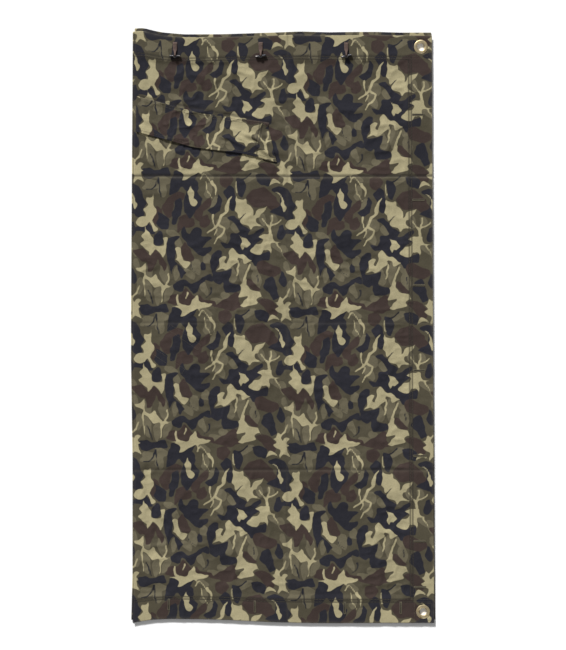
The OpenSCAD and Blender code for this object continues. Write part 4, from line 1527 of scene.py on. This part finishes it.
def ribbon(name, path, widths, thick, materials):
    """A flat strip along a path of (place, across, up) frames, with rounded long edges."""
    slices = 5
    shape = [(-1 + 2 * k / (slices - 1), 1) for k in range(slices)]
    shape += [(1 - 2 * k / (slices - 1), -1) for k in range(slices)]
    points = []
    for (place, across, up), width in zip(path, widths):
        for u, side in shape:
            round_off = 1 - 0.6 * abs(u) ** 8
            points.append(Vector(place) + Vector(across) * u * width / 2
                          + Vector(up) * side * thick / 2 * round_off)
    around = len(shape)
    faces = [[around * r + k, around * r + (k + 1) % around, around * (r + 1) + (k + 1) % around,
              around * (r + 1) + k] for r in range(len(path) - 1) for k in range(around)]
    faces += [list(range(around))[::-1], [around * (len(path) - 1) + k for k in range(around)]]
    piece = new_piece(name, [tuple(p) for p in points], faces, materials)
    outward_normals(piece)
    return piece


def slit_path(places, offset, depth):
    """Frames along the slit at a distance above it, at a depth below the upper leaf's outer face."""
    path = []
    for u in places:
        x, y = slit_place(u, offset)
        path.append((upper_layer(depth)(np.array([x]), np.array([y]))[0], FLAP_UP, (0, 0, 1)))
    return path


def slit_cut(name, depth):
    """A dark strip of painted shade along the cut on one side of the leaf."""
    path = slit_path(np.linspace(0, SLIT_L, 80), 0, depth)
    cut = ribbon(name, path, [1.2 * MM] * len(path), 0.3 * MM, [SHADE])
    ride(cut, "upper_leaf", "canvas_reverse")


def slit_pieces():
    """The welts on both sides of the slit, a dark strip of painted shade along its cut, and the facing inside."""
    steps = np.linspace(-4 * MM, SLIT_L + 4 * MM, 80)
    for name, offset in (("slit_welt_upper", 3.2 * MM), ("slit_welt_lower", -3.2 * MM)):
        path = slit_path(steps, offset, -0.35 * MM)
        welt = ribbon(name, path, [5.6 * MM] * len(path), 0.9 * MM, [PRINTED])
        xs = np.array([v.co.x for v in welt.data.vertices])
        ys = np.array([v.co.y for v in welt.data.vertices])
        mark_flat(welt, xs, ys, as_is)
        ride(welt, "upper_leaf", "canvas_print")
    slit_cut("slit_cut", -0.05 * MM)

    half_w = 22 * MM
    border = 18 * MM
    facing = cloth("slit_facing_cloth", lines([-border, SLIT_L + border]), lines([-half_w, half_w]),
                   slit_place, upper_layer(1.95 * CLOTH_T), upper_layer(CLOTH_T), [REVERSE], face_up=False)
    ride(facing, "upper_leaf", "canvas_reverse", "slit_facing")
    slit_cut("slit_cut_inside", 2.05 * CLOTH_T)
    loop = box_path(-12 * MM, -17 * MM, SLIT_L + 12 * MM, 17 * MM)
    paths = [[slit_place(u, v) for u, v in loop]]
    stitches("slit_outer_stitches", paths, upper_layer(0.0), 1, "upper_leaf")
    stitches("slit_inner_stitches", paths, upper_layer(2 * CLOTH_T), -1, "upper_leaf")
    return facing


# ---------------------------------------------------------------------------
# Tapes and toggles
# ---------------------------------------------------------------------------

INNER_TAPE = (118 * MM, 23 * MM)
INNER_TAPE_SLOPE = math.radians(-34.5)


def inner_tapes():
    """Two tapes sewn flat inside the upper leaf. Their stitching shows as boxes on its outer face."""
    made, paths = [], []
    long, wide = INNER_TAPE
    cos, sin = math.cos(INNER_TAPE_SLOPE), math.sin(INNER_TAPE_SLOPE)
    for name in ("inner_tape_1", "inner_tape_2"):
        low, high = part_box(name)
        middle = (low + high) / 2

        def flat(a, b):
            return middle.x + a * cos - b * sin, middle.y + a * sin + b * cos

        xs = lines([-long / 2, long / 2])
        ys = lines([-wide / 2, wide / 2])
        tape = cloth(f"{name}_strip", xs, ys, flat,
                     upper_layer(1.95 * CLOTH_T), upper_layer(CLOTH_T), [TAPE],
                     face_up=False)
        made.append(ride(tape, "upper_leaf", "tape", name))
        half_l = long / 2 - 3 * MM
        half_w = wide / 2 - 3 * MM
        paths.append([flat(a, b) for a, b in box_path(-half_l, -half_w, half_l, half_w)])
    stitches("tape_outer_stitches", paths, upper_layer(0.0), 1, "upper_leaf", 0.7 * MM)
    stitches("tape_inner_stitches", paths, upper_layer(2 * CLOTH_T), -1, "upper_leaf", 0.7 * MM)
    return made


TAB_W = 13 * MM
LOOP_W = 5 * MM


def tape_line(hinge, toggle):
    """Middle line of a toggle's tape, over the bar, through the eye and back: y, z and width."""
    face = UPPER_FACE
    over_bar = toggle.z + 4.1 * MM
    return [
        (hinge.y + 12 * MM, face + 1.2 * MM, TAB_W), (hinge.y + 4 * MM, face + 1.3 * MM, TAB_W),
        (hinge.y, face + 1.6 * MM, TAB_W), (hinge.y - 6 * MM, face + 1.7 * MM, TAB_W),
        (hinge.y - 11 * MM, face + 1.9 * MM, TAB_W), (hinge.y - 14 * MM, face + 2.8 * MM, 10 * MM),
        (hinge.y - 18 * MM, face + 4.8 * MM, 6.5 * MM), (toggle.y + 8 * MM, over_bar - 1.5 * MM, LOOP_W),
        (toggle.y + 4 * MM, over_bar, LOOP_W), (toggle.y + 1.5 * MM, over_bar + 0.1 * MM, LOOP_W),
        (toggle.y - 0.2 * MM, over_bar - 1.2 * MM, 4.2 * MM), (toggle.y, toggle.z, 4.0 * MM),
        (toggle.y - 0.2 * MM, face + 1.2 * MM, 4.2 * MM), (toggle.y + 2.5 * MM, face + 0.75 * MM, LOOP_W),
        (toggle.y + 9 * MM, face + 0.7 * MM, LOOP_W), (hinge.y - 17 * MM, face + 0.7 * MM, 7 * MM),
        (hinge.y - 12 * MM, face + 0.8 * MM, TAB_W), (hinge.y - 4 * MM, face + 0.8 * MM, TAB_W),
        (hinge.y + 2 * MM, face + 0.5 * MM, TAB_W), (hinge.y + 12 * MM, face + 0.4 * MM, TAB_W),
    ]


def toggle_tapes():
    """A folded tape for each toggle, sewn to the hem and narrowed where it goes through the eye."""
    boxes = []
    for n, toggle in enumerate(TOGGLES, 1):
        hinge = Vector(joint_named(f"toggle_{n}_flip")["pos_m"])
        x = hinge.x
        line = tape_line(hinge, toggle)
        path = []
        for k, (y, z, _) in enumerate(line):
            before = line[max(k - 1, 0)]
            after = line[min(k + 1, len(line) - 1)]
            run = Vector((0, after[0] - before[0], after[1] - before[1])).normalized()
            path.append(((x, y, z), (1, 0, 0), Vector((1, 0, 0)).cross(run)))
        tape = ribbon(f"toggle_tape_{n}", path, [width for _, _, width in line], 0.75 * MM, [TAPE])
        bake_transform(tape)
        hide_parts(f"toggle_tab_{n}", "toggle_roots")
        boxes.append([(hinge.x + a * MM, hinge.y + b * MM) for a, b in box_path(-4.5, 3, 4.5, 10.5)])
    stitches("toggle_root_stitches", boxes, upper_layer(-1.8 * MM), 1, "upper_leaf", 0.7 * MM, 2.6 * MM)


def paint_cad_nodes():
    """Finishes of the metal pieces, which keep their CAD shapes."""
    for name, node in frame["nodes"].items():
        if node.hide_render:
            continue
        finish = METAL if name.startswith("toggle") else BRASS
        for material_slot in node.material_slots:
            material_slot.material = finish


# ---------------------------------------------------------------------------
# The whole sheet
# ---------------------------------------------------------------------------

upper_cloth = leaf_cloth("upper", UPPER, upper_layer)
lower_cloth = leaf_cloth("lower", LOWER, lower_layer)
fold_strip = fold_cloth()
upper_hems = hem_cloth("upper", UPPER, upper_layer)
lower_hems = hem_cloth("lower", LOWER, lower_layer)
upper_patches = corner_patches("upper", upper_layer)
lower_patches = corner_patches("lower", lower_layer)
leaf_stitching("upper", UPPER, upper_layer)
leaf_stitching("lower", LOWER, lower_layer)
buttonholes("upper", upper_layer)
buttonholes("lower", lower_layer)
flap = flap_cloth()
flap_stitching()
facing = slit_pieces()
tapes = inner_tapes()
toggle_tapes()
paint_cad_nodes()


# ---------------------------------------------------------------------------
# Floor, light and camera
# ---------------------------------------------------------------------------

FLOOR_HALF = 60.0
FLOOR_Z = -1.2 * MM


def floor_plane():
    """A wide pale floor just under the sheet."""
    corners = [(x * FLOOR_HALF, y * FLOOR_HALF, FLOOR_Z) for x, y in ((-1, -1), (1, -1), (1, 1), (-1, 1))]
    floor = new_piece("floor", corners, [[0, 1, 2, 3]], [pale_floor()])


def sun_light(name, place, power, softness):
    """A distant lamp that shines from a place towards the sheet, softness degrees wide."""
    light = bpy.data.lights.new(name, "SUN")
    light.energy = power
    light.angle = math.radians(softness)
    lamp = bpy.data.objects.new(name, light)
    lamp.location = place
    lamp.rotation_euler = Vector(place).to_track_quat("Z", "Y").to_euler()
    bpy.context.scene.collection.objects.link(lamp)


def studio():
    """Soft key light from the toggles' end, a weak fill and an even surround."""
    sun_light("key", (-1.7, 4.2, 2.2), 6.3, 9)
    sun_light("fill", (2.0, -3.4, 3.6), 0.25, 40)
    world = bpy.data.worlds.new("studio")
    world.use_nodes = True
    world.node_tree.nodes["Background"].inputs["Color"].default_value = (1.0, 1.0, 1.0, 1.0)
    world.node_tree.nodes["Background"].inputs["Strength"].default_value = 0.25
    bpy.context.scene.world = world


VIEW_HEIGHT = 1.983
CAMERA_PLACE = (-0.001, 0.008, 6.0)


def straight_down_camera():
    """Looks straight down at the sheet, with the fold on the left."""
    camera = bpy.data.cameras.new("camera")
    camera.sensor_width = 36.0
    camera.lens = camera.sensor_width * CAMERA_PLACE[2] / VIEW_HEIGHT
    viewer = bpy.data.objects.new("camera", camera)
    viewer.location = CAMERA_PLACE
    bpy.context.scene.collection.objects.link(viewer)
    bpy.context.scene.camera = viewer


floor_plane()
studio()
straight_down_camera()
bpy.context.scene.view_settings.view_transform = "Standard"
